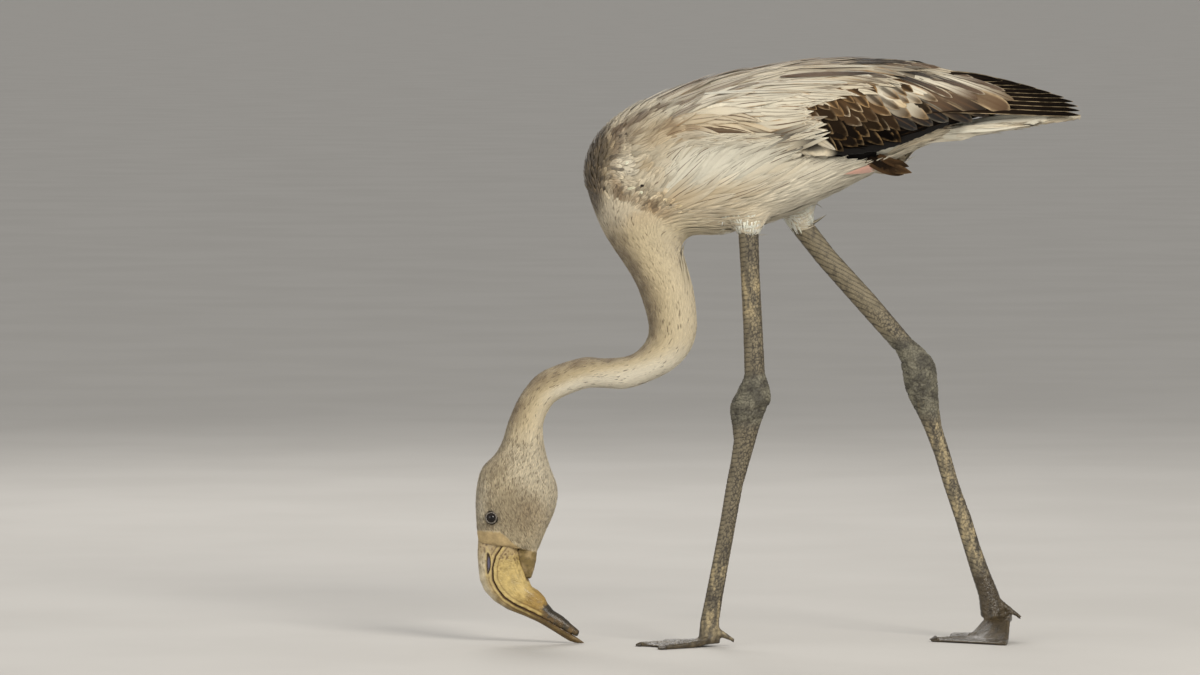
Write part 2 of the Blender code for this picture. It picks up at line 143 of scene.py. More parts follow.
def ripple(points: Array, size: float, seed: int = 0) -> Array:
    """Soft noise from -1 to 1 at each point.

    Args:
        points: places, one per row.
        size: how far apart the noise's swells lie.
        seed: picks another noise of the same kind.

    Returns:
        One value for each point.
    """
    shift = Vector((seed * 7.31, seed * 3.17, seed * 5.03))
    return np.array([noise.noise(Vector(p) / size + shift) for p in points])


def unit(rows: Array, least: float = 0.0) -> Array:
    """The vectors at length 1, each divided by its length or by the least one."""
    return rows / np.maximum(np.linalg.norm(rows, axis=-1), least)[..., None]


class Graph:
    """A material's nodes, joined by short calls."""

    def __init__(self, name: str) -> None:
        """Starts a material with one Principled shader.

        Args:
            name: the material's name.
        """
        self.material = bpy.data.materials.new(name)
        self.material.use_nodes = True
        self.tree = self.material.node_tree
        self.shader = self.tree.nodes["Principled BSDF"]

    def node(self, kind: str, **settings: object) -> bpy.types.Node:
        """Adds one node.

        Args:
            kind: the node's type.
            settings: its properties.

        Returns:
            The node.
        """
        made = self.tree.nodes.new(kind)
        for key, value in settings.items():
            setattr(made, key, value)
        return made

    def put(self, socket: Socket, value: object) -> None:
        """Joins a socket to another one, or sets it to a plain value.

        Args:
            socket: the input.
            value: an output, a number or a colour.
        """
        if isinstance(value, Socket):
            self.tree.links.new(value, socket)
        else:
            socket.default_value = value

    def set(self, **values: object) -> None:
        """Sets or joins the shader's sockets, named with underscores for spaces."""
        for key, value in values.items():
            self.put(self.shader.inputs[key.replace("_", " ")], value)

    def math(self, operation: str, *values: object) -> Socket:
        """Adds one Math node.

        Args:
            operation: what it does.
            values: its inputs in order.

        Returns:
            Its result.
        """
        made = self.node("ShaderNodeMath", operation=operation)
        for socket, value in zip(made.inputs, values):
            self.put(socket, value)
        return made.outputs[0]

    def fit(self, value: object, times: object, plus: object) -> Socket:
        """The value times one number plus another."""
        return self.math("MULTIPLY_ADD", value, times, plus)

    def rise(self, value: object, low: float, high: float) -> Socket:
        """Adds a soft step.

        Args:
            value: what is read.
            low: where the step is 0.
            high: where it is 1.

        Returns:
            The step's height.
        """
        made = self.node("ShaderNodeMapRange", interpolation_type="SMOOTHSTEP")
        for socket, given in zip(made.inputs, (value, low, high, 0.0, 1.0)):
            self.put(socket, given)
        return made.outputs[0]

    def mix(self, share: object, first: object, second: object, how: str = "MIX") -> Socket:
        """Mixes two colours.

        Args:
            share: how much of the second shows.
            first: a socket, a Tone or three linear values.
            second: the same.
            how: the way of mixing.

        Returns:
            The mixed colour.
        """
        made = self.node("ShaderNodeMix", data_type="RGBA", blend_type=how)
        for index, value in ((0, share), (6, first), (7, second)):
            if isinstance(value, Tone):
                value = value.linear
            if isinstance(value, Array | tuple):
                value = (*map(float, value), 1.0)
            self.put(made.inputs[index], value)
        return made.outputs[2]

    def attribute(self, name: str) -> bpy.types.Node:
        """A mesh's own attribute."""
        return self.node("ShaderNodeAttribute", attribute_name=name)

    def tinted(self, shade: object) -> Socket:
        """The mesh's own tint times a shade."""
        return self.mix(1.0, self.attribute("tint").outputs["Color"], shade, "MULTIPLY")

    def noise(self, scale: float, detail: float = 3.0) -> Socket:
        """Adds noise over the object's own coordinates.

        Args:
            scale: how many swells lie on a metre.
            detail: how many finer layers it has.

        Returns:
            Values round 0.5.
        """
        made = self.node("ShaderNodeTexNoise")
        self.put(made.inputs["Vector"], self.node("ShaderNodeTexCoord").outputs["Object"])
        made.inputs["Scale"].default_value = scale
        made.inputs["Detail"].default_value = detail
        return made.outputs["Fac"]

    def bump(self, height: object, distance: float) -> None:
        """Puts a bump on the shader.

        Args:
            height: the relief, from 0 to 1.
            distance: how deep it is.
        """
        made = self.node("ShaderNodeBump")
        made.inputs["Strength"].default_value = 1.0
        made.inputs["Distance"].default_value = distance
        self.put(made.inputs["Height"], height)
        self.put(self.shader.inputs["Normal"], made.outputs[0])


@dataclass(frozen=True)
class PlumageFinish:
    """Feathers: the tint that each carries, its shaft and edge, and the fine barbs across it."""

    name: str
    barbs: float  # how many barbs lie along one vane
    slant: float  # how far a barb runs on towards the tip, in vane lengths
    barb_depth: float = 0.00008
    barb_shade: float = 0.16
    shaft_width: float = 0.09
    core: Tone = Tone.STREAK  # the shaft's own
    edge_width: float = 0.3
    tip_width: float = 0.12  # of the vane's length
    edge_from: float = 0.0  # how far along the vane its pale edge begins
    roughness: float = 0.62
    sheen: float = 0.25
    gloss: float = 0.35

    @cache
    def material(self) -> Material:
        """Builds the feathers' material once.

        Returns:
            The material.
        """
        g = Graph(self.name)
        tint, trim, accent = (g.attribute(n) for n in ("tint", "trim", "accent"))
        parts = g.node("ShaderNodeSeparateXYZ")
        g.put(parts.inputs[0], trim.outputs["Vector"])
        shaft_share, edge_share, _ = parts.outputs
        vane = g.node("ShaderNodeSeparateXYZ")
        g.put(vane.inputs[0], g.node("ShaderNodeUVMap", uv_map="Vane").outputs[0])
        along = vane.outputs[1]
        across = g.math("ABSOLUTE", g.fit(vane.outputs[0], 2.0, -1.0))
        wander = g.noise(90.0, 2.0)
        lean = g.fit(across, -self.slant, along)
        barb = g.math("SINE", g.fit(lean, self.barbs * math.tau, g.math("MULTIPLY", wander, 9.0)))
        lined = g.fit(barb, self.barb_shade * 0.5, 1.0 - self.barb_shade * 0.5)
        shaft = g.math("MULTIPLY", g.math("MULTIPLY", g.rise(along, 0.15, 0.4), shaft_share),
                       g.rise(across, self.shaft_width * 1.6, self.shaft_width * 0.5))
        tipward = g.math("MAXIMUM", g.rise(across, 1.0 - self.edge_width, 0.98),
                         g.rise(along, 1.0 - self.tip_width, 1.0))
        broken = g.fit(g.rise(wander, 0.36, 0.6), 0.75, 0.25)
        edge = g.math("MULTIPLY", g.math("MULTIPLY", tipward, broken),
                      g.math("MULTIPLY", g.rise(along, self.edge_from + 0.15, self.edge_from + 0.4),
                             edge_share))
        shaded = g.mix(1.0, tint.outputs["Color"], lined, "MULTIPLY")
        edged = g.mix(edge, shaded, accent.outputs["Color"])
        g.set(Base_Color=g.mix(shaft, edged, self.core), Roughness=self.roughness,
              Sheen_Weight=self.sheen, Sheen_Roughness=0.5, Specular_IOR_Level=self.gloss)
        g.bump(g.fit(g.rise(across, self.shaft_width * 2, 0.0), 1.5, barb), self.barb_depth)
        return g.material


@dataclass(frozen=True)
class SkinFinish:
    """Skin that carries its colour in an attribute, with a fine grain."""

    name: str = "body_skin"
    grain: float = 420.0
    depth: float = 0.0004
    roughness: float = 0.85
    sheen: float = 0.05
    gloss: float = 0.15

    def material(self) -> Material:
        """Builds the skin's material.

        Returns:
            The material.
        """
        g = Graph(self.name)
        grain = g.noise(self.grain, 4.0)
        g.set(Base_Color=g.tinted(g.fit(g.rise(grain, 0.2, 0.8), 0.24, 0.88)),
              Roughness=self.roughness, Sheen_Weight=self.sheen, Sheen_Roughness=0.5,
              Specular_IOR_Level=self.gloss)
        g.bump(grain, self.depth)
        return g.material


@dataclass(frozen=True)
class PlainFinish:
    """Two tones mixed by a grain, over a fine relief."""

    name: str
    grain: float
    detail: float
    rough: float
    dark: tuple[float, float, float]
    pale: tuple[float, float, float]
    steps: Point | None = None  # where the grain turns from dark to pale, where it isn't even
    relief: float = 0.0
    gloss: float = 0.5

    def material(self) -> Material:
        """Builds the material.

        Returns:
            The material.
        """
        g = Graph(self.name)
        grain = g.noise(self.grain, self.detail)
        share = g.rise(grain, *self.steps) if self.steps else grain
        g.set(Base_Color=g.mix(share, self.dark, self.pale), Roughness=self.rough,
              Specular_IOR_Level=self.gloss)
        if self.relief:
            g.bump(grain, self.relief)
        return g.material


SOFT = PlumageFinish("soft_down", barbs=5, slant=0.5, barb_shade=0.1, roughness=0.8, gloss=0.2)
SILK = PlumageFinish("silky_plumes", barbs=14, slant=1.1, barb_shade=0.14, shaft_width=0.1,
                     roughness=0.6, sheen=0.15, gloss=0.25)
CONTOUR = PlumageFinish("contour_feathers", barbs=20, slant=0.7, barb_shade=0.14, shaft_width=0.12,
                        edge_width=0.4, tip_width=0.05, roughness=0.6, sheen=0.1, gloss=0.25)
COVERT = PlumageFinish("covert_scales", barbs=22, slant=0.6, barb_shade=0.2, shaft_width=0.42,
                       core=Tone.DARK, edge_width=0.5, tip_width=0.15, edge_from=0.42,
                       roughness=0.68, gloss=0.02, sheen=0.0)
FLIGHT = PlumageFinish("flight_barbs", barbs=46, slant=0.35, barb_shade=0.14, shaft_width=0.045,
                       edge_width=0.16, tip_width=0.012, roughness=0.6, gloss=0.02, sheen=0.0)


# ---------------------------------------------------------------- meshes


def read_rows(items: bpy.types.bpy_prop_collection, key: str) -> Array:
    """A vector that each item holds, one per row.

    Args:
        items: a mesh's vertices or their normals.
        key: the vector's name.

    Returns:
        One row for each item.
    """
    flat = np.empty(len(items) * 3, np.float32)
    items.foreach_get(key, flat)
    return flat.reshape(-1, 3)


def read_points(mesh: Mesh) -> Array:
    """A mesh's vertices, one per row."""
    return read_rows(mesh.vertices, "co").astype(float)


def node_points(node: str) -> Array:
    """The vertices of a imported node, one per row."""
    return read_points(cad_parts[node].data)


def write_points(mesh: Mesh, points: Array) -> None:
    """Puts a mesh's vertices at new places."""
    mesh.vertices.foreach_set("co", np.ascontiguousarray(points, np.float32).ravel())
    mesh.update()


def write_colour(mesh: Mesh, name: str, colours: Array) -> None:
    """Gives each vertex a colour.

    Args:
        mesh: the mesh.
        name: the attribute's name.
        colours: three linear values for each vertex.
    """
    layer = mesh.color_attributes.new(name, "FLOAT_COLOR", "POINT")
    full = np.ones((len(mesh.vertices), 4), np.float32)
    full[:, :3] = colours
    layer.data.foreach_set("color", full.ravel())


def finished(bm: bmesh.types.BMesh, mesh: bpy.types.Mesh | None = None) -> Mesh:
    """The bmesh as a mesh.

    Args:
        bm: what is built, freed here.
        mesh: the mesh that takes it, where it isn't a new one.

    Returns:
        The mesh.
    """
    mesh = mesh or bpy.data.meshes.new("part")
    bm.to_mesh(mesh)
    bm.free()
    return mesh


def joined_nodes(nodes: Sequence[str], swell: float = SWELL) -> Mesh:
    """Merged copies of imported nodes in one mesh, each grown a little to close the gaps.

    Args:
        nodes: the nodes' names.
        swell: how far each copy grows along its normals.

    Returns:
        The mesh of them all.
    """
    whole, part_mesh = bmesh.new(), bpy.data.meshes.new("part")
    for node in nodes:
        part = bmesh.new()
        part.from_mesh(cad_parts[node].data)
        bmesh.ops.remove_doubles(part, verts=part.verts, dist=WELD)
        part.normal_update()
        for vert in part.verts:
            vert.co += vert.normal * swell
        whole.from_mesh(finished(part, part_mesh))
    bpy.data.meshes.remove(part_mesh)
    return finished(whole)


def smooth(bm: bmesh.types.BMesh, verts: Sequence[bmesh.types.BMVert], passes: int) -> None:
    """Smooths vertices so many times.

    Args:
        bm: the mesh that holds them.
        verts: the vertices.
        passes: how often they are smoothed.
    """
    for _ in range(passes):
        bmesh.ops.smooth_vert(bm, verts=verts, factor=0.5, use_axis_x=True, use_axis_y=True,
                              use_axis_z=True)


def remeshed(mesh: Mesh, voxel: float, passes: int, finer: Vector | None = None) -> Mesh:
    """One closed skin round all that a mesh holds, smoothed.

    Args:
        mesh: the closed forms to join.
        voxel: the new faces' size.
        passes: how often the result is smoothed.
        finer: halves the faces that lie below and in front of this corner, where it is given.

    Returns:
        The new mesh.
    """
    holder = bpy.data.objects.new("remesh", mesh)
    bpy.context.scene.collection.objects.link(holder)
    modifier = holder.modifiers.new("Remesh", "REMESH")
    modifier.mode, modifier.voxel_size = "VOXEL", voxel
    done = bpy.data.meshes.new_from_object(holder.evaluated_get(bpy.context.evaluated_depsgraph_get()))
    bpy.data.objects.remove(holder)
    bm = bmesh.new()
    bm.from_mesh(done)
    if finer:
        near = [e for e in bm.edges if all(v.co.z < finer.z and v.co.x < finer.x + voxel for v in e.verts)]
        bmesh.ops.subdivide_edges(bm, edges=near, cuts=1, use_grid_fill=True)
    smooth(bm, bm.verts, passes)
    return finished(bm, done)


def show(name: str, mesh: Mesh, material: Material,
         nodes: Sequence[str] = ()) -> None:
    """Makes a mesh a piece of the bird.

    Args:
        name: the piece's name.
        mesh: its mesh, in place.
        material: its only material.
        nodes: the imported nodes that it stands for.
    """
    mesh.name = name
    mesh.materials.clear()
    mesh.materials.append(material)
    mesh.polygons.foreach_set("use_smooth", [True] * len(mesh.polygons))
    piece = bpy.data.objects.new(name, mesh)
    bpy.context.scene.collection.objects.link(piece)
    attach(piece, "root")
    if nodes:
        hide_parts(*nodes)
    log.info("%s: %d faces", name, len(mesh.polygons))


# ---------------------------------------------------------------- places on the bird


@dataclass(frozen=True)
class SideMap:
    """Places on a box's side: along is 0 at its front and 1 at its rear, up 0 to 1 at its top."""

    low: Vector
    high: Vector

    @property
    def span(self) -> Array:
        """The box's length and height."""
        return np.array([self.high.x - self.low.x, self.high.z - self.low.z])

    def share(self, points: Array) -> Array:
        """The along and up of each point."""
        return (np.asarray(points, float)[..., [0, 2]] - (self.low.x, self.low.z)) / self.span

    def place(self, along: float, up: float) -> Array:
        """The x and z of a place on the side."""
        return np.array([self.low.x, self.low.z]) + (along, up) * self.span


BODY = SideMap(*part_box("trunk"))
NECK_NODES = ("head", "neck_5_nape", "neck_4_run", "neck_3_bend", "neck_2_bulge", "neck_1_root")


def inside(share: Array, outline: Sequence[Point]) -> Array:
    """Whether each place lies inside an outline.

    Args:
        share: the places on the body's side, one per row.
        outline: its corners in the same terms.

    Returns:
        True for each place inside.
    """
    x, y = share[:, 0], share[:, 1]
    found = np.zeros(len(share), bool)
    for (x0, y0), (x1, y1) in zip(outline, [*outline[1:], outline[0]]):
        if y0 == y1:
            continue
        cross = x0 + (y - y0) * (x1 - x0) / (y1 - y0)
        found ^= ((y0 > y) != (y1 > y)) & (x < cross)
    return found


def slices(count: int, size: int = 4000) -> list[slice]:
    """Slices that part a long table, so that no step needs much memory."""
    return [slice(start, start + size) for start in range(0, count, size)]


class Spine:
    """The line from the face through the neck and trunk to the tail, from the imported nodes."""

    TRUNK_LINE = ((0.13, 0.36), (0.24, 0.47), (0.5, 0.58), (0.9, 0.68), (1.3, 0.72))
    STEP = 2 * MM
    FACE_BAND = 4 * MM  # how high the face's lower end is, whose middle starts the line
    CONTACT = 1.5 * MM  # how much further off than the nearest a vertex may be where nodes meet
    ROUNDINGS = 3

    def __init__(self) -> None:
        """Joins the nodes' middles and the places where they meet, and smooths the line."""
        clouds = [node_points(n) for n in NECK_NODES]
        low = clouds[0][:, 2].min()
        knots = [clouds[0][clouds[0][:, 2] < low + self.FACE_BAND].mean(0)]
        for first, second in zip(clouds, [*clouds[1:], node_points("trunk")]):
            knots += [first.mean(0), self.meeting(first, second)]
        line = [(k[0], k[2]) for k in knots] + [tuple(BODY.place(*p)) for p in self.TRUNK_LINE]
        self.points, self.reach = self.smoothed(np.array(line))
        self.tangents = unit(np.gradient(self.points, axis=0))
        self.length = self.reach[-1]
        joint = np.array(line)[len(knots) - 1]
        self.neck_end = int(np.argmin(np.linalg.norm(self.points - joint, axis=1)))
        self.neck_length = self.reach[self.neck_end]

    def meeting(self, first: Array, second: Array) -> Array:
        """The middle of the vertices of first that lie against second."""
        gaps = np.array([np.linalg.norm(second - p, axis=1).min() for p in first])
        return first[gaps <= gaps.min() + self.CONTACT].mean(0)

    def smoothed(self, line: Array) -> tuple[Array, Array]:
        """A rounded copy of the line in even steps.

        Args:
            line: its corners, one per row.

        Returns:
            The steps, and how far along the line each is.
        """
        for _ in range(self.ROUNDINGS):  # corner cutting
            cut = [line[0]]
            for a, b in zip(line, line[1:]):
                cut += [a * 0.75 + b * 0.25, a * 0.25 + b * 0.75]
            line = np.array([*cut, line[-1]])
        run = np.r_[0, np.cumsum(np.linalg.norm(np.diff(line, axis=0), axis=1))]
        reach = np.arange(0, run[-1], self.STEP)
        return np.stack([np.interp(reach, run, line[:, k]) for k in (0, 1)], axis=1), reach

    def around(self, points: Array) -> tuple[Array, Array]:
        """Where points lie round the spine.

        Args:
            points: places, one per row.

        Returns:
            How far along the spine each is, and how far round from the back: 0 at the back,
            pi in front, positive on the near side.
        """
        flat = points[:, [0, 2]]
        index = np.empty(len(flat), int)
        for part in slices(len(flat)):
            index[part] = ((flat[part][:, None] - self.points[None]) ** 2).sum(2).argmin(1)
        tangent = self.tangents[index]
        off = flat - self.points[index]
        back = off[:, 0] * -tangent[:, 1] + off[:, 1] * tangent[:, 0]
        return self.reach[index], np.arctan2(-points[:, 1], back)


class Flow:
    """The way that feathers point, as an angle on the body's side: 0 towards the tail, 90 up."""

    LAY = (  # along, up and angle
        (-0.01, 0.34, 96), (0.002, 0.44, 84), (0.048, 0.57, 54), (0.102, 0.671, 40), (0.184, 0.774, 28),
        (0.32, 0.876, 19), (0.456, 0.937, 10), (0.591, 0.978, 4), (0.727, 1.0, 0), (0.863, 0.978, -8),
        (0.945, 0.948, -15), (0.374, 0.81, 9), (0.43, 0.68, -16), (0.3, 0.64, -8), (0.537, 0.774, 2),
        (0.632, 0.907, -3), (0.70, 0.62, -36), (0.809, 0.722, -38), (0.945, 0.774, -34),
        (1.026, 0.80, -26), (1.216, 0.80, -11), (0.17, 0.36, 48), (0.238, 0.36, 54), (0.31, 0.40, 50),
        (0.428, 0.415, 40), (0.537, 0.466, 30), (0.62, 0.50, 20), (0.28, 0.27, 24), (0.388, 0.261, 15),
        (0.591, 0.338, 18), (0.727, 0.415, 14), (0.32, 0.133, 3), (0.483, 0.13, 7), (0.6, 0.22, 22),
        (0.75, 0.36, 24), (0.116, 0.517, 5), (0.102, 0.40, -14), (0.85, 0.46, 16), (1.0, 0.56, 14),
        (1.2, 0.64, 7), (0.08, 0.27, 70), (0.16, 0.20, 50), (0.24, 0.13, 18),
    )
    NECK_STEPS = 5  # every how many steps of the neck's line one counts
    POWER = 3.2  # how fast a place's say falls with its distance
    SOFT = 4 * MM

    def __init__(self, spine: Spine) -> None:
        """Gathers the body's own lay and the neck's line into one field.

        Args:
            spine: the line that the neck's feathers follow.
        """
        neck = slice(0, spine.neck_end, self.NECK_STEPS)
        angles = np.radians([h for *_, h in self.LAY])
        self.places = np.concatenate([spine.points[neck], [BODY.place(a, u) for a, u, _ in self.LAY]])
        self.turns = np.concatenate([spine.tangents[neck], np.stack([np.cos(angles), np.sin(angles)], 1)])

    def heading(self, points: Array) -> Array:
        """The direction on the side plane at each point.

        Args:
            points: places, one per row.

        Returns:
            Vectors of length 1 with no y.
        """
        found = np.zeros((len(points), 3))
        for part in slices(len(points)):
            flat = points[part][:, [0, 2]]
            gaps = ((flat[:, None] - self.places[None]) ** 2).sum(2) + self.SOFT ** 2
            found[part][:, [0, 2]] = gaps ** (-self.POWER / 2) @ self.turns
        return unit(found)


# ---------------------------------------------------------------- markings


@dataclass(frozen=True)
class Mark:
    """A soft patch of colour on the body's side, the same on both sides of the bird."""

    along: float
    up: float
    half_along: float
    half_up: float
    tone: Tone
    strength: float
    tilt: float = 0.0  # degrees, up towards the tail
    mottle: float = 0.35

    def cover(self, share: Array, grain: Array) -> Array:
        """How much of the patch shows.

        Args:
            share: places on the side, one per row.
            grain: noise there, which breaks the patch's edge.

        Returns:
            From 0 to the patch's strength for each place.
        """
        turn, span = math.radians(self.tilt), BODY.span
        off = (share - (self.along, self.up)) * span
        run = off[:, 0] * math.cos(turn) + off[:, 1] * math.sin(turn)
        rise = off[:, 1] * math.cos(turn) - off[:, 0] * math.sin(turn)
        far = np.hypot(run / (self.half_along * span[0]), rise / (self.half_up * span[0]))
        return self.strength * ease(1.15, 0.45, far + self.mottle * grain)


class Face:
    """The parts of the head that carry no down: round the eye, the lores and the throat skin."""

    EDGE = (  # the down's lower edge, along and up in the head's box
        (-0.1, 0.194), (0.0, 0.19), (0.30, 0.184), (0.36, 0.155), (0.42, 0.11), (0.49, 0.069),
        (0.565, 0.028), (0.66, 0.008), (1.1, -0.05))
    EYE_RING = 5.4 * MM
    EYE_OUT = 9 * MM  # the ring lies further out from the middle plane
    SHADES = (  # along, up and half width in the same box, the tone and how strong it is; the pale patches towards the head's top and back are partly painted light
        (0.50, 0.37, 0.25, Tone.NECK_BROWN, 0.34), (0.12, 0.86, 0.20, Tone.NECK_BROWN, 0.25),
        (0.72, 0.30, 0.20, Tone.BROWN_AND_CREASE_SHADE, 0.25), (0.05, 0.36, 0.10, Tone.NECK_PALE, 0.3),
        (0.62, 0.78, 0.28, Tone.NECK_PALE, 0.3), (0.92, 0.58, 0.22, Tone.NECK_PALE, 0.22),
        (0.05, 0.50, 0.16, Tone.NECK_PALE, 0.2), (0.80, 0.14, 0.18, Tone.NECK_CREAM, 0.30))

    def __init__(self) -> None:
        """Takes the head's and the eye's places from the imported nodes."""
        self.side = SideMap(*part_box("head"))
        self.top = self.side.high.z
        low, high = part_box("eye_left")
        self.eye = (low + high) / 2

    def shaded(self, points: Array, colour: Array, grain: Array) -> Array:
        """Adds the head's paler and darker patches, the pale ones towards its top and back partly painted
        light.

        Args:
            points: places, one per row.
            colour: the down's linear colours there.
            grain: noise there.

        Returns:
            The new colours.
        """
        along, up = self.side.share(points).T
        for x, z, wide, tone, strength in self.SHADES:
            cover = ease(wide * 1.3, wide * 0.4, np.hypot(along - x, up - z) + 0.05 * grain)
            colour = blend(colour, tone, strength * cover * (points[:, 2] < self.top + 20 * MM))
        return colour

    def bare(self, points: Array) -> Array:
        """How bare each place is, from 0 to 1.

        Args:
            points: places, one per row.

        Returns:
            1 where no down grows, 0 where it is full.
        """
        along, up = self.side.share(points).T
        ragged = 0.012 * ripple(points, 2.6 * MM, 30)
        below = ease(0.008, -0.014, up + ragged - np.interp(along, *np.array(self.EDGE).T))
        return np.maximum(below * (points[:, 2] < self.top), self.ring(points))

    def ring(self, points: Array) -> Array:
        """How near each place is to an eye."""
        far = np.hypot(points[:, 0] - self.eye.x, points[:, 2] - self.eye.z)
        return ease(self.EYE_RING + 0.8 * MM, self.EYE_RING, far) * (np.abs(points[:, 1]) > self.EYE_OUT)


class Markings:
    """The colours of skin and coat alike, by place on the bird."""

    MARKS = (
        Mark(0.40, 0.80, 0.36, 0.12, Tone.WHITE, 0.6, -6, 0.6),
        Mark(0.60, 0.985, 0.38, 0.05, Tone.BROWN, 0.6, 0, 1.1),
        Mark(0.82, 0.965, 0.16, 0.04, Tone.DARK, 0.7, -12, 1.0),
        Mark(0.30, 0.90, 0.20, 0.03, Tone.BROWN, 0.4, 22, 1.1),
        Mark(0.40, 0.66, 0.15, 0.04, Tone.BUFF, 0.55, -10),
        Mark(0.22, 0.62, 0.10, 0.045, Tone.BUFF, 0.6, 10),
        # painted shade: a thin dark line in the crease tone by the shoulder
        Mark(0.255, 0.625, 0.06, 0.03, Tone.BROWN_AND_CREASE_SHADE, 0.7, -30, 0.8),
        Mark(0.19, 0.43, 0.09, 0.02, Tone.BUFF, 0.7, -30, 0.7),
        Mark(0.515, 0.61, 0.055, 0.022, Tone.DARK, 0.85, -28, 0.9),
        Mark(0.385, 0.545, 0.06, 0.012, Tone.BROWN, 0.7, 4, 0.9),
        Mark(0.60, 0.555, 0.06, 0.018, Tone.BLACK, 0.95, -12, 0.5),
        Mark(0.33, 0.855, 0.16, 0.045, Tone.NECK_BROWN, 0.6, 16, 0.9),
        Mark(0.33, 0.31, 0.18, 0.035, Tone.BUFF, 0.6, 6),
        Mark(0.33, 0.17, 0.24, 0.06, Tone.BUFF, 0.3, 4),
        Mark(0.20, 0.16, 0.12, 0.06, Tone.BUFF, 0.45, 20),
        Mark(0.37, 0.45, 0.20, 0.065, Tone.WHITE, 0.9, 8, 0.2),
        Mark(0.66, 0.34, 0.20, 0.10, Tone.SATIN, 0.9, 20, 0.2),
        Mark(0.117, 0.455, 0.045, 0.036, Tone.SATIN, 0.8, -10, 0.5),
        Mark(0.115, 0.60, 0.075, 0.045, Tone.BROWN, 0.5, 25, 0.8),
        Mark(0.075, 0.52, 0.05, 0.05, Tone.BROWN, 0.5, 60, 0.7),
        Mark(0.15, 0.685, 0.12, 0.014, Tone.BROWN, 0.7, 27, 0.9),
        # painted shade: the next three run along the crease at the breast's lower edge
        Mark(0.085, 0.34, 0.045, 0.026, Tone.BROWN_AND_CREASE_SHADE, 0.55, -50, 0.7),
        Mark(0.15, 0.27, 0.12, 0.024, Tone.BROWN_AND_CREASE_SHADE, 0.45, -30, 0.7),
        Mark(0.23, 0.19, 0.09, 0.02, Tone.BROWN_AND_CREASE_SHADE, 0.4, -35, 0.7),
    )
    BREAST_EDGE = (  # along and up, from its top to its foot
        (0.035, 0.72), (0.07, 0.56), (0.058, 0.42), (0.052, 0.30), (0.04, 0.18), (0.03, 0.06))
    HEAD_FADE = 150 * MM, 95 * MM  # how far along the spine the neck's tone starts and the head's is full
    NECK_FADE = 18 * MM, -14 * MM  # beyond and before the neck's end, where its colours run out
    BENT_FRONT = (246 * MM, 270 * MM), (320 * MM, 285 * MM)  # the heights between which its front is palest
    RIM_UNDER = -11 * MM, -7 * MM  # the wing's black rim from its lower line, and where it ends above
    RIM_OVER = 60 * MM, 45 * MM
    RIM_OUT = 24 * MM, 34 * MM  # it lies this far out from the middle plane

    def __init__(self, spine: Spine) -> None:
        """Keeps the spine that the neck's colours follow."""
        self.spine, self.face = spine, Face()

    def at(self, points: Array) -> Array:
        """The coat's colours.

        Args:
            points: places on the skin, one per row.

        Returns:
            The linear colour at each.
        """
        share = BODY.share(points)
        grain = ripple(points, 14 * MM) + 0.5 * ripple(points, 5 * MM, 1)
        colour = Tone.CREAM.rows(len(points))
        for mark in self.MARKS:
            colour = blend(colour, mark.tone, mark.cover(share, grain))
        reach, angle = self.spine.around(points)
        edge = self.breast_edge(share)
        neck = np.maximum(ease(*self.NECK_FADE, reach - self.spine.neck_length), edge)
        colour = blend(colour, self.neck_colour(points, reach, angle, grain), neck)
        scaly = edge * ease(-0.6, 0.3, ripple(points, 5 * MM, 4) + 0.25)
        dark = ease(1.5, 0.5, np.abs(angle)) * edge
        return blend(colour, Tone.BREAST_GREY, 0.92 * scaly * np.clip(0.3 + dark, 0, 1))

    def skin(self, points: Array) -> Array:
        """The skin's own colours: the coat's, darkened as painted shade between the tufts, and bare tan skin
        on the face.

        Args:
            points: places on the skin, one per row.

        Returns:
            The linear colour at each.
        """
        grain = ripple(points, 7 * MM, 15)
        low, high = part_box("gular_skin")
        throat = ease(low.x - 4 * MM, low.x + 2 * MM, points[:, 0]) * (points[:, 2] < high.z + 3 * MM)
        fold = ease(0.12, 0.0, np.abs(ripple(points * (1, 1, 2.2), 7 * MM, 35)))
        tan = Tone.LORE.rows(len(points)) * (1.1 + 0.3 * grain)[:, None]
        tan = blend(tan, Tone.GULAR, 0.9 * throat * ease(-0.6, 0.1, grain))
        # painted shade: the throat skin is darkened along its folds
        tan = blend(tan, Tone.BREAST_GREY, 0.55 * throat * fold)
        tan = blend(tan, Tone.HEAD_SPECK, 0.6 * self.face.ring(points))
        # painted shade: the skin under the coat takes the coat's colours 8% darker
        colour = blend(self.at(points) * 0.92, Tone.BLACK, self.wing_rim(points))
        return blend(colour, tan, self.face.bare(points))

    def wing_rim(self, points: Array) -> Array:
        """1 along the folded wing's lower edge, where its black feathers are rooted.

        Args:
            points: places, one per row.

        Returns:
            From 0 to 1 for each place.
        """
        share = BODY.share(points)
        rise = (share[:, 1] - np.interp(share[:, 0], *np.array(FoldedWing.EDGE).T)) * BODY.span[1]
        near = ease(*self.RIM_UNDER, rise) * ease(0.65, 0.69, share[:, 0])
        return near * ease(*self.RIM_OUT, np.abs(points[:, 1])) * ease(*self.RIM_OVER, rise)

    def breast_edge(self, share: Array) -> Array:
        """1 on the breast's front, where the neck's feathers run up over it.

        Args:
            share: places on the body's side, one per row.

        Returns:
            From 0 to 1 for each place.
        """
        line = np.array(self.BREAST_EDGE)[::-1]
        band = ease(0.035, -0.02, share[:, 0] - np.interp(share[:, 1], line[:, 1], line[:, 0]))
        return band * ease(-0.02, 0.1, share[:, 1]) * ease(0.74, 0.62, share[:, 1])

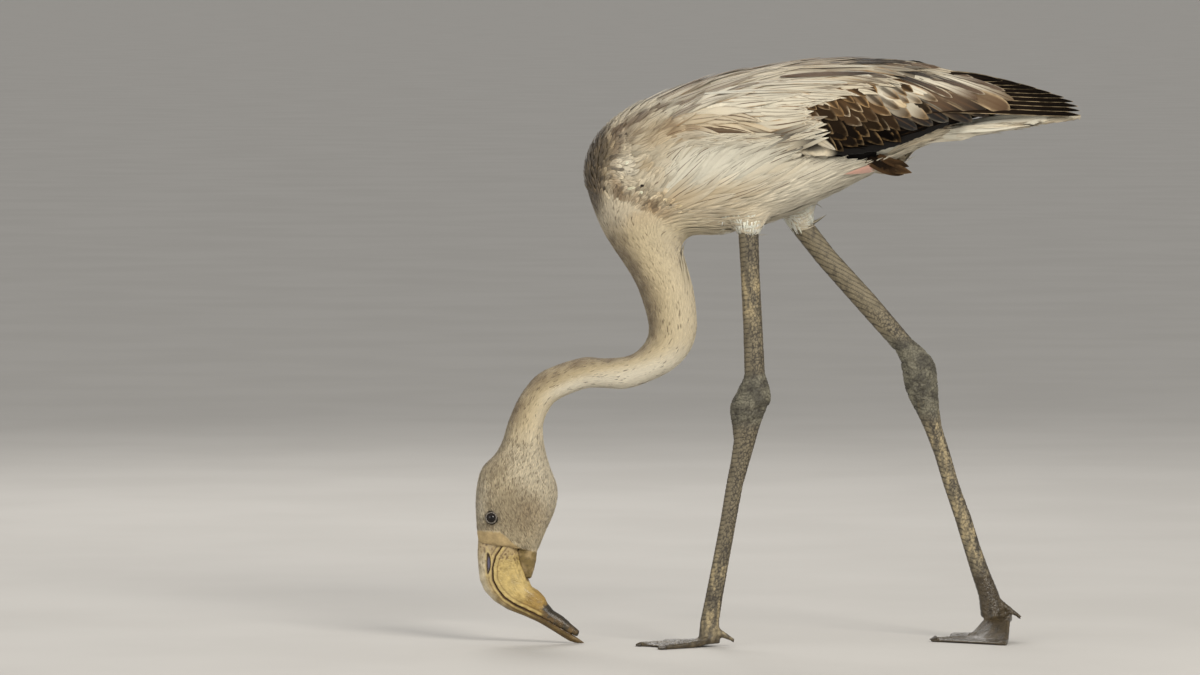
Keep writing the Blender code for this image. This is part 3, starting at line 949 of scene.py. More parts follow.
    def neck_colour(self, points: Array, reach: Array, angle: Array,
                    grain: Array) -> Array:
        """Buff on the head, cream on the neck, brown along its back and palest on its front.

        Args:
            points: places, one per row.
            reach: how far along the spine each is.
            angle: how far round it.
            grain: noise there.

        Returns:
            The linear colour at each.
        """
        head = ease(*self.HEAD_FADE, reach)
        back, front = ease(1.75, 0.5, np.abs(angle)), ease(1.25, 2.2, np.abs(angle))
        under, over = self.BENT_FRONT
        bent = ease(*under, points[:, 2]) * ease(*over, points[:, 2])
        colour = blend(Tone.NECK_CREAM.rows(len(points)), Tone.NECK_PALE, front * (0.2 + 0.8 * bent))
        blotch = ease(-0.8, 0.7, grain + 0.5 * ripple(points, 6 * MM, 2))
        colour = blend(colour, Tone.NECK_BROWN, back * (0.5 + 0.45 * blotch) * (1 - 0.5 * head))
        colour = blend(colour, Tone.HEAD_BUFF, head * 0.8)
        eye = self.face.eye
        below = np.hypot(points[:, 0] - eye.x - 1 * MM, points[:, 2] - eye.z + 5 * MM)
        brow = 0.5 * ease(10 * MM, 4 * MM, below) + 0.3 * head * ease(0.0, 0.7, grain)
        colour = blend(colour, Tone.HEAD_SPECK, brow * ease(130 * MM, 100 * MM, reach))
        return self.face.shaded(points, colour, grain)


# ---------------------------------------------------------------- surfaces


class Surface:
    """A closed mesh that feathers are laid on."""

    CALMINGS = 6  # how often each normal is joined with its neighbours'
    NEIGHBOURS = [(i, j, k) for i in (-1, 0, 1) for j in (-1, 0, 1) for k in (-1, 0, 1)]
    DRAWS = 3.2  # how many places are tried for each that the gap leaves room for

    def __init__(self, mesh: Mesh) -> None:
        """Reads the mesh and smooths its normals.

        Args:
            mesh: the mesh, not changed.
        """
        self.points = read_points(mesh)
        mesh.calc_loop_triangles()
        self.corners = np.empty(len(mesh.loop_triangles) * 3, np.int32)
        mesh.loop_triangles.foreach_get("vertices", self.corners)
        self.corners = self.corners.reshape(-1, 3)
        normals = read_rows(mesh.vertex_normals, "vector").astype(float)
        for _ in range(self.CALMINGS):
            total = normals.copy()
            for a, b in ((0, 1), (1, 2), (2, 0)):
                np.add.at(total, self.corners[:, a], normals[self.corners[:, b]])
            normals = unit(total, TINY)
        self.normals = normals
        self.face_normals = unit(normals[self.corners].mean(1))
        self.tree = BVHTree.FromPolygons(self.points.tolist(), self.corners.tolist())

    def snap(self, points: Array) -> tuple[Array, Array]:
        """The nearest places on the surface, and the smooth normals there."""
        hits = [self.tree.find_nearest(p) for p in points.tolist()]
        return np.array([tuple(h[0]) for h in hits]), self.face_normals[[h[2] for h in hits]]

    def gaps(self, points: Array) -> Array:
        """How far each place lies from the surface."""
        return np.array([self.tree.find_nearest(p)[3] for p in points.tolist()])

    def scatter(self, keep: Field, gap: float, seed: int, stretch: float = 1.0,
                heading: Field | None = None) -> tuple[Array, Array]:
        """Even random places over part of the surface.

        Args:
            keep: tells which places lie in the part wanted.
            gap: the least distance between two places.
            seed: starts the draw.
            stretch: how many times further apart they lie along the heading than across it.
            heading: the direction at each place, where they are stretched.

        Returns:
            The places and their normals.
        """
        rng = np.random.default_rng(seed)
        corners = self.points[self.corners]
        chosen = np.flatnonzero(keep(corners.mean(1)))
        a, b, c = (corners[chosen, k] for k in range(3))
        area = np.linalg.norm(np.cross(b - a, c - a), axis=1)
        count = int(area.sum() / 2 / gap ** 2 / stretch * self.DRAWS) + 8
        faces = chosen[rng.choice(len(chosen), count, p=area / area.sum())]
        one, two = np.sqrt(rng.random(count)), rng.random(count)
        shares = np.stack([1 - one, one * (1 - two), one * two], 1)[:, :, None]
        points = (corners[faces] * shares).sum(1)
        ways = heading(points).tolist() if stretch > 1 else [(1.0, 0.0, 0.0)] * count
        kept = self.thinned(points, ways, gap, stretch)
        return points[kept], self.face_normals[faces[kept]]

    def thinned(self, points: Array, ways: list[Sequence[float]], gap: float, stretch: float) -> list[int]:
        """Drops each place that lies too near an earlier one.

        Args:
            points: places, one per row.
            ways: the direction at each in which the gap is stretched.
            gap: the least distance.
            stretch: how many times it is longer that way.

        Returns:
            The rows that are kept.
        """
        squash = 1 - 1 / stretch ** 2
        taken: dict[tuple[int, int, int], list[int]] = {}
        kept, plain = [], points.tolist()
        for index, (i, j, k) in enumerate(np.floor(points / (gap * stretch)).astype(int).tolist()):
            (x, y, z), (wx, wy, wz) = plain[index], ways[index]
            for di, dj, dk in self.NEIGHBOURS:
                for other in taken.get((i + di, j + dj, k + dk), ()):
                    ox, oy, oz = plain[other]
                    dx, dy, dz = x - ox, y - oy, z - oz
                    run = dx * wx + dy * wy + dz * wz
                    if dx * dx + dy * dy + dz * dz - squash * run * run < gap * gap:
                        break
                else:
                    continue
                break
            else:
                taken.setdefault((i, j, k), []).append(index)
                kept.append(index)
        return kept


# ---------------------------------------------------------------- vanes


@dataclass(frozen=True)
class Vane:
    """One closed feather blade, drawn once and laid many times."""

    rows: int
    base: float  # its width at the root, against its widest
    widest: float  # where along it is widest
    power: float  # how late its sides turn in
    round: float  # 0.5 for a round tip, 1 for a pointed one
    across: int = 2
    crowd: float = 1.35  # how much closer its rows lie towards the tip

    def width(self, t: Array) -> Array:
        """Half the blade's width at each share of its length, against its widest.

        Args:
            t: shares of the length, 0 at the root.

        Returns:
            One width for each, 1 at the widest.
        """
        rise = self.base + (1 - self.base) * np.sin(np.clip(t / self.widest, 0, 1) * math.pi / 2)
        past = np.clip((t - self.widest) / (1 - self.widest), 0, 1)
        return np.maximum(rise * (1 - past ** self.power) ** self.round, 0.05)

    def drawn(self) -> tuple[Array, Array]:
        """Draws the blade as two sheets that part inside their common rim.

        Returns:
            The vertices as along, across and thickness, and each triangle's corners.
        """
        bm = bmesh.new()
        bmesh.ops.create_grid(bm, x_segments=self.across, y_segments=self.rows, size=1.0)
        top = list(bm.faces)
        copy = bmesh.ops.duplicate(bm, geom=list(bm.verts) + list(bm.edges) + top)["geom"]
        under = [g for g in copy if isinstance(g, bmesh.types.BMFace)]
        bmesh.ops.reverse_faces(bm, faces=under)
        near = 1e-4
        for faces, lift in ((top, 1.0), (under, -1.0)):
            for vert in {v for f in faces for v in f.verts}:
                if abs(vert.co.x) < 1 - near and abs(vert.co.y) < 1 - near:
                    vert.co.z = lift
        bmesh.ops.remove_doubles(bm, verts=bm.verts, dist=near)
        for face in list(bm.faces):  # cut through a lone raised corner, so that the sides share no triangle
            raised = [k for k, v in enumerate(face.verts) if abs(v.co.z) > 0.5]
            if len(raised) == 1:
                bmesh.utils.face_split(face, face.verts[raised[0]], face.verts[(raised[0] + 2) % 4])
        bmesh.ops.triangulate(bm, faces=bm.faces)
        bm.verts.index_update()
        points = np.array([((v.co.y + 1) / 2, v.co.x, v.co.z) for v in bm.verts])
        faces = np.array([[v.index for v in f.verts] for f in bm.faces])
        bm.free()
        points[:, 0] = 1 - (1 - points[:, 0]) ** self.crowd
        return points, faces


DOWN = Vane(rows=2, base=0.7, widest=0.35, power=1.6, round=0.9)
LANCE = Vane(rows=7, base=0.45, widest=0.45, power=1.8, round=0.95)
STRAND = Vane(rows=7, base=0.6, widest=0.35, power=1.5, round=1.0)
FLUFF = Vane(rows=4, base=0.6, widest=0.35, power=1.5, round=1.0)
POINTED = Vane(rows=6, base=0.5, widest=0.55, power=2.0, round=0.85)
COVERLET = Vane(rows=10, base=0.5, widest=0.5, power=2.0, round=0.85)
WEDGE = Vane(rows=8, base=1.0, widest=0.1, power=1.2, round=1.0)
BLADE = Vane(rows=14, base=0.5, widest=0.75, power=2.4, round=0.6, across=4)
SPEAR = Vane(rows=14, base=0.3, widest=0.45, power=1.9, round=0.9, across=4)
SABRE = Vane(rows=16, base=0.6, widest=0.5, power=2.6, round=0.72, across=4)


@dataclass
class Lay:
    """Where a set of vanes lies: the stations along each, with normals, and its sizes and colours."""

    places: Array  # one row of stations for each vane
    normals: Array
    half_width: Array
    tint: Array
    end_tint: Array
    map_place: Array
    accent: Array | None = None  # the edge's colour
    trim: Array | None = None  # how much shaft and edge show, and a spare, one row for each vane
    patch: Array | None = None  # each vane's width and height on the map
    thickness: float = 0.25 * MM
    camber: float = 0.25
    soften: float = 0.7  # how far the shading follows the skin instead of the blade

    def __post_init__(self) -> None:
        """Fills in what plain feathers leave out."""
        count = len(self.places)
        self.tint, self.end_tint = np.clip(self.tint, 0, 1), np.clip(self.end_tint, 0, 1)
        if self.accent is None:
            self.accent = Tone.CREAM.rows(count)
        if self.trim is None:
            self.trim = np.zeros((count, 3))
        if self.patch is None:
            self.patch = np.full((count, 2), PATCH)

    def part(self, keep: Array) -> "Lay":
        """The same for some of the vanes."""
        return Lay(**{k: v[keep] if isinstance(v, Array) else v for k, v in vars(self).items()})


@dataclass
class Coat:
    """Joins laid vanes into pieces, split where one would have too many faces."""

    finish: PlumageFinish
    slot: str
    most_faces: int = 190000

    def weave(self, name: str, vane: Vane, lay: Lay, nodes: Sequence[str] = ()) -> None:
        """Builds one piece, or several where it would be too large.

        Args:
            name: the piece's name.
            vane: the blade's shape.
            lay: where each blade lies.
            nodes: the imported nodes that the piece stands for.
        """
        points, faces = vane.drawn()
        pieces = math.ceil(len(lay.places) * len(faces) / self.most_faces)
        if pieces == 1:
            show(name, self.joined(vane, points, faces, lay), self.finish.material(), nodes)
            return
        order = np.argsort(lay.map_place[:, 0], kind="stable")
        for number, keep in enumerate(np.array_split(order, pieces), 1):
            self.weave(f"{name}_{number}", vane, lay.part(keep), nodes)

    def joined(self, vane: Vane, points: Array, faces: Array, lay: Lay) -> Mesh:
        """Lays the drawn blade along every row of stations.

        Args:
            vane: the blade's shape.
            points: its vertices as along, across and thickness.
            faces: its triangles.
            lay: where each blade lies.

        Returns:
            One mesh with its maps and colours.
        """
        count, steps = lay.places.shape[0], lay.places.shape[1] - 1
        along, across, level = points.T
        at = np.clip(along * steps, 0, steps - 1e-6)
        low, share = at.astype(int), (at - at.astype(int))[None, :, None]

        def between(rows: Array) -> Array:
            """What the stations say at each of the blade's vertices."""
            return rows[:, low] * (1 - share) + rows[:, low + 1] * share

        normal = unit(between(lay.normals))
        side = unit(np.cross(between(np.gradient(lay.places, axis=1)), normal), TINY)
        wide, half = vane.width(along), lay.half_width[:, None, None]
        arch = half * (-lay.camber * across ** 2 * wide)[None, :, None]
        body = between(lay.places) + side * (half * (wide * across)[None, :, None])
        body = (body + normal * (arch + (level * lay.thickness)[None, :, None])).reshape(-1, 3)
        every = (faces[None] + np.arange(count)[:, None, None] * len(points)).reshape(-1, 3)
        mesh = bpy.data.meshes.new("vanes")
        mesh.vertices.add(len(body))
        mesh.vertices.foreach_set("co", body.astype(np.float32).ravel())
        mesh.loops.add(every.size)
        mesh.loops.foreach_set("vertex_index", every.ravel().astype(np.int32))
        mesh.polygons.add(len(every))
        mesh.polygons.foreach_set("loop_start", np.arange(0, every.size, 3, dtype=np.int32))
        mesh.update(calc_edges=True)
        flat = faces.ravel()
        vane_map = np.stack([across[flat] * 0.5 + 0.5, along[flat]], 1)
        bake = lay.map_place[:, None] + (vane_map[None] - 0.5) * lay.patch[:, None]
        for layer, spots in (("Vane", np.tile(vane_map, (count, 1))), ("OFBake", bake)):
            mesh.uv_layers.new(name=layer).uv.foreach_set("vector", spots.astype(np.float32).ravel())
        ramp = ease(0.35, 1.0, along)[None, :, None]
        tint = lay.tint[:, None] * (1 - ramp) + lay.end_tint[:, None] * ramp
        write_colour(mesh, "tint", tint.reshape(-1, 3))
        write_colour(mesh, "accent", np.repeat(lay.accent, len(points), axis=0))
        write_colour(mesh, "trim", np.repeat(lay.trim, len(points), axis=0))
        self.soften(mesh, normal.reshape(-1, 3), (side * across[None, :, None]).reshape(-1, 3),
                    np.tile(level, count)[:, None], lay.soften)
        return mesh

    @staticmethod
    def soften(mesh: Mesh, skin: Array, outward: Array, level: Array,
               share: float) -> None:
        """Turns the shading of a blade's upper side and rim towards the skin's, as down has no hard sides.

        Args:
            mesh: the blades.
            skin: the skin's normal at each vertex.
            outward: the way from the blade's middle line to each vertex.
            level: 1 on the upper side, 0 on the rim and -1 below.
            share: how far the upper side is turned.
        """
        own = read_rows(mesh.vertex_normals, "vector")
        upper = own * (1 - share) + skin * share
        mixed = np.where(level > 0.5, upper, np.where(level < -0.5, own, skin + 0.25 * outward))
        mesh.polygons.foreach_set("use_smooth", [True] * len(mesh.polygons))
        mesh.normals_split_custom_set_from_vertices(unit(mixed, TINY).tolist())


class Unwrap:
    """The skin's own map: along the spine one way and round it the other, each thigh apart."""

    MARGIN = 0.01
    LENGTH, ROUND = 0.98, 0.88  # how much of the map the body takes along and round
    THIGHS = (0.02, 0.91), (0.4, 0.08)  # where the first thigh's corner lies, and one thigh's size
    NEXT_THIGH = 0.5
    THIGH_TOP = 6 * MM  # how far below its box's top a thigh's own map begins

    def __init__(self, spine: Spine) -> None:
        """Keeps the spine."""
        self.spine = spine
        self.thighs = {side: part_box(f"thigh_{name}") for side, name in SIDES.items()}

    def at(self, points: Array) -> Array:
        """Where points lie on the map.

        Args:
            points: places on the skin, one per row.

        Returns:
            The two values of each on the map.
        """
        reach, angle = self.spine.around(points)
        spot = np.stack([self.MARGIN + self.LENGTH * reach / self.spine.length,
                         self.MARGIN + self.ROUND * (angle / math.tau + 0.5)], 1)
        (left, foot), (wide, tall) = self.THIGHS
        for number, (side, (low, high)) in enumerate(self.thighs.items()):
            middle = (low + high) / 2
            on = (points[:, 2] < high.z - self.THIGH_TOP) & (points[:, 1] * side > 0)
            on &= (points[:, 0] > low.x) & (points[:, 0] < high.x)
            turn = np.arctan2(points[:, 1] - middle.y, points[:, 0] - middle.x) / math.tau + 0.5
            rise = np.clip((points[:, 2] - low.z) / (high.z - low.z), 0, 1)
            patch = np.stack([left + wide * turn + self.NEXT_THIGH * number, foot + tall * rise], 1)
            spot[on] = patch[on]
        return spot


# ---------------------------------------------------------------- the skin


@dataclass
class BodySkin:
    """One skin for body, neck and head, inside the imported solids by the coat's depth."""

    NODES = ("trunk", "tail", "gular_skin", *NECK_NODES, "wing_left", "wing_right",
             "thigh_left", "thigh_right")
    NECK_DOWN = 45 * MM, -20 * MM  # beyond and before the neck's end, where its depth fades out
    HEAD_DOWN = 150 * MM, 110 * MM  # how far along the spine the head's depth starts and is full
    THICKEST = 0.05  # no form is taken to be thicker

    spine: Spine
    markings: Markings
    voxel: float = 2.4 * MM
    smoothings: int = 14
    body_depth: float = 3.2 * MM
    neck_depth: float = 1.4 * MM
    head_depth: float = 0.9 * MM
    bare_depth: float = 0.7 * MM
    thin_share: float = 0.36  # of the thickness where the form is thin
    into_bill: float = 3 * MM  # how far the throat's skin runs on inside the bill
    rim: float = 7 * MM  # how high above the head's lower end its skin is drawn in onto the bill

    def __post_init__(self) -> None:
        """Builds the skin's mesh and the surface that feathers lie on."""
        self.mesh = remeshed(joined_nodes(self.NODES), self.voxel, self.smoothings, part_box("head")[1])
        outer = Surface(self.mesh)
        points = self.seated(outer.points - outer.normals * self.depth(outer)[:, None], outer.normals)
        write_points(self.mesh, self.throat(points))
        self.surface = Surface(self.mesh)

    def depth(self, outer: Surface) -> Array:
        """How deep the skin lies below the coat's outer face at each of its vertices.

        Args:
            outer: the coat's outer face.

        Returns:
            One depth for each vertex.
        """
        reach, _ = self.spine.around(outer.points)
        neck, head = ease(*self.NECK_DOWN, reach - self.spine.neck_length), ease(*self.HEAD_DOWN, reach)
        want = self.body_depth + (self.neck_depth - self.body_depth) * neck
        want += (self.head_depth - self.neck_depth) * head
        bare = self.markings.face.bare(outer.points)
        want = want * (1 - bare) + self.bare_depth * bare
        start = outer.points - outer.normals * 0.2 * MM
        thick = [self.through(outer.tree, p, -n) for p, n in zip(start.tolist(), outer.normals)]
        return np.minimum(want, np.array(thick) * self.thin_share)

    def seated(self, points: Array, normals: Array) -> Array:
        """Draws the face's lower rim in onto the bill's base.

        Args:
            points: the skin's vertices, changed here.
            normals: the outer face's normals there.

        Returns:
            The vertices.
        """
        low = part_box("head")[0]
        form = Surface(joined_nodes(("upper_bill", "lower_bill"), 0.45 * MM))
        rim = ease(low.z + self.rim, low.z + 1.5 * MM, points[:, 2]) * (points[:, 2] > low.z - 4 * MM)
        rim *= ease(-0.9, -0.5, normals[:, 2]) * (points[:, 0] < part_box("gular_skin")[0].x)
        for index in np.flatnonzero(rim > 0.01):
            near, _ = form.snap(points[index:index + 1])
            points[index] += (near[0] - points[index]) * rim[index]
        return points

    def throat(self, points: Array) -> Array:
        """Draws the throat's skin out again: back to its edge, and on into the bill.

        Args:
            points: the skin's vertices, changed here.

        Returns:
            The vertices.
        """
        low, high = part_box("gular_skin")
        form = Surface(joined_nodes(("gular_skin",), 0.2 * MM))
        on = (points[:, 2] < high.z - 1 * MM) & (points[:, 0] > low.x - 6 * MM)
        for index in np.flatnonzero(on):
            near, normal = form.snap(points[index:index + 1])
            points[index] = near[0] + (-self.into_bill if normal[0, 0] < -0.35 else 0.0, 0.0, 0.0)
        return points

    def through(self, tree: BVHTree, start: list[float], way: Array) -> float:
        """How far a line runs inside the form before it comes out."""
        hit = tree.ray_cast(start, way.tolist(), self.THICKEST)
        return hit[3] if hit[3] is not None else self.THICKEST

    def dress(self) -> None:
        """Colours the skin and shows it."""
        write_colour(self.mesh, "tint", np.clip(self.markings.skin(self.surface.points), 0, 1))
        show("body_skin", self.mesh, SkinFinish().material(), self.NODES)


# ---------------------------------------------------------------- plumage


@dataclass(frozen=True)
class Tract:
    """A part of the coat with one kind of feather."""

    name: str
    slot: str
    vane: Vane
    finish: PlumageFinish
    outline: Sequence[Point]
    gap: float  # in millimetres, as the next five are
    length: Point
    half_width: float
    root_lift: float
    tip_lift: float
    wild: float  # how far tips stray outwards
    sway: float = 6.0  # degrees that a feather strays sideways
    shaft: float = 0.3
    edge: float = 0.2
    accent: Tone = Tone.GOLD
    fade: float = 0.0  # how much the tip turns to white
    shade: float = 0.1  # how much feathers differ
    camber: float = 0.08
    thickness: float = 0.2  # millimetres
    stretch: float = 1.0  # how many times further apart roots lie along the flow than across it
    soften: float = 0.7
    trails: bool = False  # whether feathers may run on past the form's edge
    lined: float = 1.0  # the share of feathers whose shaft shows
    mixed: float = 0.0  # the share of feathers that are turned towards brown
    overlap: float = 0.0  # how far the tract runs on over the one behind it, on the body's side
    between: float = 0.0  # millimetres from the middle, for a tract that lies between the wings

    def holds(self, points: Array) -> Array:
        """Whether places lie in the tract, clear of the folded wing's own feathers.

        Args:
            points: places, one per row.

        Returns:
            True for each place that the tract covers.
        """
        share = BODY.share(points)
        within = inside(share, self.outline) | inside(share - (self.overlap, 0.0), self.outline)
        if self.between:
            return within & (np.abs(points[:, 1]) < self.between * MM)
        return within & ~inside(share, WING_CLEAR)


@dataclass
class Plumage:
    """Lays the coat's tracts over the skin, along its flow."""

    NEW_WAY, OLD_WAY = 0.55, 0.45  # the shares of the flow and of the last step in the next one
    ADRIFT = 0.55  # a step that ends so far off the skin, in steps, runs free of it
    SHORTEST = 7 * MM
    OVER_WING = 1.9  # millimetres that a tip rises to lie over the wing's feathers

    skin: BodySkin
    flow: Flow
    markings: Markings
    unwrap: Unwrap
    stations: int = 5

    def __post_init__(self) -> None:
        """Takes the place where the longest feathers end."""
        self.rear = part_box("primaries_left")[1].x

    def march(self, roots: Array, normals: Array, lengths: Array, sway: Array,
              steps: int, heading: Field | None = None) -> tuple[Array, Array, Array]:
        """Walks from each root over the skin along the flow.

        Args:
            roots: where the feathers start.
            normals: the skin's normals there.
            lengths: how long each feather is.
            sway: how far each turns off the flow, in radians.
            steps: how many steps each walk has.
            heading: the direction at each place, where it isn't the coat's flow.

        Returns:
            The places and normals, a row of stations for each feather, and how many of its
            steps run free of the skin.
        """
        heading = heading or self.flow.heading
        loose = np.zeros(len(roots), int)
        places, facing = [roots], [normals]
        point, normal, before = roots.copy(), normals.copy(), None
        for _ in range(steps):
            way = heading(point)
            way = unit(way - normal * (way * normal).sum(1)[:, None], 1e-6)
            way = way * np.cos(sway)[:, None] + np.cross(normal, way) * np.sin(sway)[:, None]
            if before is not None:
                way = unit(self.NEW_WAY * way + self.OLD_WAY * before, 1e-6)
            aim = point + (lengths / steps)[:, None] * way
            landed, turned = self.skin.surface.snap(aim)
            free = np.linalg.norm(landed - aim, axis=1) > self.ADRIFT * lengths / steps
            landed[free], turned[free] = aim[free], normal[free]  # past an edge of the form, straight on
            loose += free
            before, point, normal = way, landed, turned
            places.append(point)
            facing.append(normal)
        return np.stack(places, 1), np.stack(facing, 1), loose

    def grow(self, tract: Tract, seed: int) -> None:
        """Covers one tract.

        Args:
            tract: where and how its feathers lie.
            seed: starts the draws.
        """
        roots, normals = self.skin.surface.scatter(tract.holds, tract.gap * MM, seed, tract.stretch,
                                                   self.flow.heading)
        rng = np.random.default_rng(seed + 1)
        count, steps = len(roots), self.stations
        short, long = tract.length
        lengths = (short + (long - short) * ease(0.08, 0.5, BODY.share(roots)[:, 0])) * MM
        lengths *= rng.uniform(0.82, 1.15, count)
        lengths = np.minimum(lengths, np.maximum(self.rear - roots[:, 0], 8 * MM))
        sway = np.radians(rng.normal(0, tract.sway, count))
        places, ways, loose = self.march(roots, normals, lengths, sway, steps)
        on_wing = inside(BODY.share(places.reshape(-1, 3)), WING_CLEAR).reshape(count, -1)
        entered = on_wing & (not tract.between)
        clear = np.where(entered.any(1), entered.argmax(1) - 0.5, steps) / steps
        lengths *= np.clip(clear * rng.uniform(0.95, 1.2, count), 0, 1)
        kept = (lengths > self.SHORTEST) & (loose < (3 if tract.trails else 2))
        roots, normals, lengths, sway = roots[kept], normals[kept], lengths[kept], sway[kept]
        count = len(roots)
        places, ways, _ = self.march(roots, normals, lengths, sway, steps)
        t = np.linspace(0, 1, steps + 1)[None]
        climb = tract.tip_lift - tract.root_lift
        lift = tract.root_lift + climb * t
        lift = lift + rng.exponential(tract.wild, count)[:, None] * t ** 2
        lift = lift + entered.any(1)[kept, None] * self.OVER_WING * t
        lift = lift + rng.uniform(-0.05, 0.05, count)[:, None] * climb
        places = places + ways * (lift * MM)[..., None]
        tint, end = (self.markings.at(places[:, k]) for k in (2, 4))
        odd = (rng.random(count) < tract.mixed) * rng.uniform(0.35, 0.9, count)
        shade = (1 + rng.normal(0, tract.shade, count))[:, None]
        tint, end = (blend(c, Tone.BROWN, odd) * shade for c in (tint, end))
        end = blend(end, Tone.WHITE, np.full(count, tract.fade) * ease(0.1, 0.4, end[:, 1]))
        trim = np.zeros((count, 3))
        trim[:, 0] = tract.shaft * rng.uniform(0.5, 1.0, count) * (rng.random(count) < tract.lined)
        trim[:, 1] = tract.edge * rng.uniform(0.3, 1.0, count)
        accent = blend(tract.accent.rows(count), Tone.BROWN, rng.uniform(0.1, 0.9, count))
        half_width = tract.half_width * MM * rng.uniform(0.85, 1.15, count)
        Coat(tract.finish, tract.slot).weave(tract.name, tract.vane, Lay(
            places, ways, half_width, tint, end, self.unwrap.at(roots), accent, trim,
            thickness=tract.thickness * MM, camber=tract.camber, soften=tract.soften))


@dataclass(frozen=True)
class DownLength:
    """The down on one length of the neck; its sizes are in millimetres."""

    name: str
    gap: float
    length: float
    half_width: float
    root_lift: float
    tip_lift: float
    seed: int
    outline: Sequence[Point] | None = None  # what holds it on the body's side


@dataclass
class DownyNeck:
    """The short close down of head and neck, smallest on the face."""

    plumage: Plumage
    spine: Spine
    head_end: float = 118 * MM  # how far along the spine the head's down runs
    root_length: float = 20 * MM  # how far before the neck's end the root's down begins
    sway: float = 9.0  # degrees that a tuft strays sideways
    thickness: float = 0.1 * MM

    def build(self) -> None:
        """Lays the head's and the neck's down."""
        root, end = self.spine.neck_length - self.root_length, math.inf
        self.cover(DownLength("head_down", 0.95, 4.2, 0.6, 0.1, 0.65, 11), -end, self.head_end)
        self.cover(DownLength("neck_down", 1.3, 7.0, 0.85, 0.12, 0.7, 12), self.head_end, root)
        self.cover(DownLength("neck_root", 1.45, 8.0, 1.0, 0.25, 0.9, 13, NECK_ROOT), root, end)

    def cover(self, down: DownLength, start: float, end: float) -> None:
        """Covers one length of the neck.

        Args:
            down: its tufts.
            start: how far along the spine it begins.
            end: how far along the spine it ends.
        """
        markings = self.plumage.markings

        def holds(points: Array) -> Array:
            """Whether places lie on this length and carry down.

            Args:
                points: places, one per row.

            Returns:
                True for each place that this down covers.
            """
            reach, _ = self.spine.around(points)
            mine = (reach >= start) & (reach < end) & (markings.face.bare(points) < 0.5)
            return mine & inside(BODY.share(points), down.outline) if down.outline else mine

        roots, normals = self.plumage.skin.surface.scatter(holds, down.gap * MM, down.seed)
        rng = np.random.default_rng(down.seed + 50)
        count, steps = len(roots), 2
        lengths = down.length * MM * rng.uniform(0.75, 1.2, count)
        sway = np.radians(rng.normal(0, self.sway, count))
        places, ways, _ = self.plumage.march(roots, normals, lengths, sway, steps)
        t = np.linspace(0, 1, steps + 1)[None]
        rise = down.root_lift + (down.tip_lift - down.root_lift) * t
        rise = rise + rng.exponential(0.12, count)[:, None] * t ** 2
        places = places + ways * (rise * MM)[..., None]
        reach, angle = self.spine.around(roots)
        head = ease(self.head_end + 30 * MM, self.head_end - 20 * MM, reach)
        speck = rng.random(count) < 0.05 + 0.3 * head + 0.16 * ease(1.6, 0.4, np.abs(angle))
        tint = blend(markings.at(roots), Tone.HEAD_SPECK, speck * rng.uniform(0.2, 0.85, count))
        shade = 1 + rng.normal(0, 0.045, count) * (1 + head) + 0.2 * head * ripple(roots, 3.5 * MM, 40)
        tint *= shade[:, None]
        half_width = down.half_width * MM * rng.uniform(0.85, 1.2, count)
        # painted shade: each tuft's tint is 8% darker at its root than at its tip
        Coat(SOFT, "down").weave(down.name, DOWN, Lay(
            places, ways, half_width, tint, tint * 1.08, self.plumage.unwrap.at(roots),
            thickness=self.thickness, camber=0.15, soften=0.95))


@dataclass
class Thigh:
    """The white fluff of one thigh, which hangs down over the top of the shank."""

    side: int
    plumage: Plumage
    gap: float = 1.9 * MM
    stretch: float = 2.2
    length: float = 21 * MM
    half_width: float = 1.3 * MM
    overhang: float = 7 * MM  # how far the longest run down over the shank
    sway: float = 14.0  # degrees that a tuft strays sideways
    painted_glow: float = 1.35  # painted light: how much brighter than the body's white the fluff is painted, against the shade it hangs in

    def __post_init__(self) -> None:
        """Takes the thigh's place and the way that its shank goes."""
        self.name = SIDES[self.side]
        self.low, self.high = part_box(f"thigh_{self.name}")
        axis = Leg.axis(self.name)
        self.way = np.array([-axis[0], 0.0, -axis[2]])

    def heading(self, points: Array) -> Array:
        """Down the leg everywhere."""
        return np.tile(self.way, (len(points), 1))

    def holds(self, points: Array) -> Array:
        """Whether places lie on this thigh.

        Args:
            points: places, one per row.

        Returns:
            True for each place on it.
        """
        near = (points[:, 2] < self.high.z - 2 * MM) & (points[:, 2] > self.low.z - 3 * MM)
        near &= (points[:, 0] > self.low.x - 3 * MM) & (points[:, 0] < self.high.x + 3 * MM)
        return near & (points[:, 1] * self.side > 4 * MM)

    def build(self, seed: int) -> None:
        """Lays the fluff.

        Args:
            seed: starts the draws.
        """
        surface = self.plumage.skin.surface
        roots, normals = surface.scatter(self.holds, self.gap, seed, self.stretch, self.heading)
        rng = np.random.default_rng(seed)
        count, steps = len(roots), 4
        drop = (roots[:, 2] - self.low.z + self.overhang * rng.uniform(-0.8, 1.6, count)) / -self.way[2]
        lengths = np.clip(self.length * rng.uniform(0.8, 1.2, count), 4 * MM, np.maximum(drop, 5 * MM))
        sway = np.radians(rng.normal(0, self.sway, count))
        places, ways, _ = self.plumage.march(roots, normals, lengths, sway, steps, self.heading)
        t = np.linspace(0, 1, steps + 1)[None]
        rise = 0.3 + 1.7 * t + rng.exponential(0.35, count)[:, None] * t ** 2
        places = places + ways * (rise * MM)[..., None]
        # painted light: the fluff's white is raised above the body's white
        tint = Tone.WHITE.rows(count) * (self.painted_glow + rng.normal(0, 0.07, count))[:, None]
        half_width = self.half_width * rng.uniform(0.8, 1.2, count)
        Coat(SILK, "body_plumage").weave(f"thigh_fluff_{self.name}", FLUFF, Lay(
            places, ways, half_width, tint, tint, self.plumage.unwrap.at(roots),
            thickness=0.15 * MM, camber=0.1, soften=0.85))


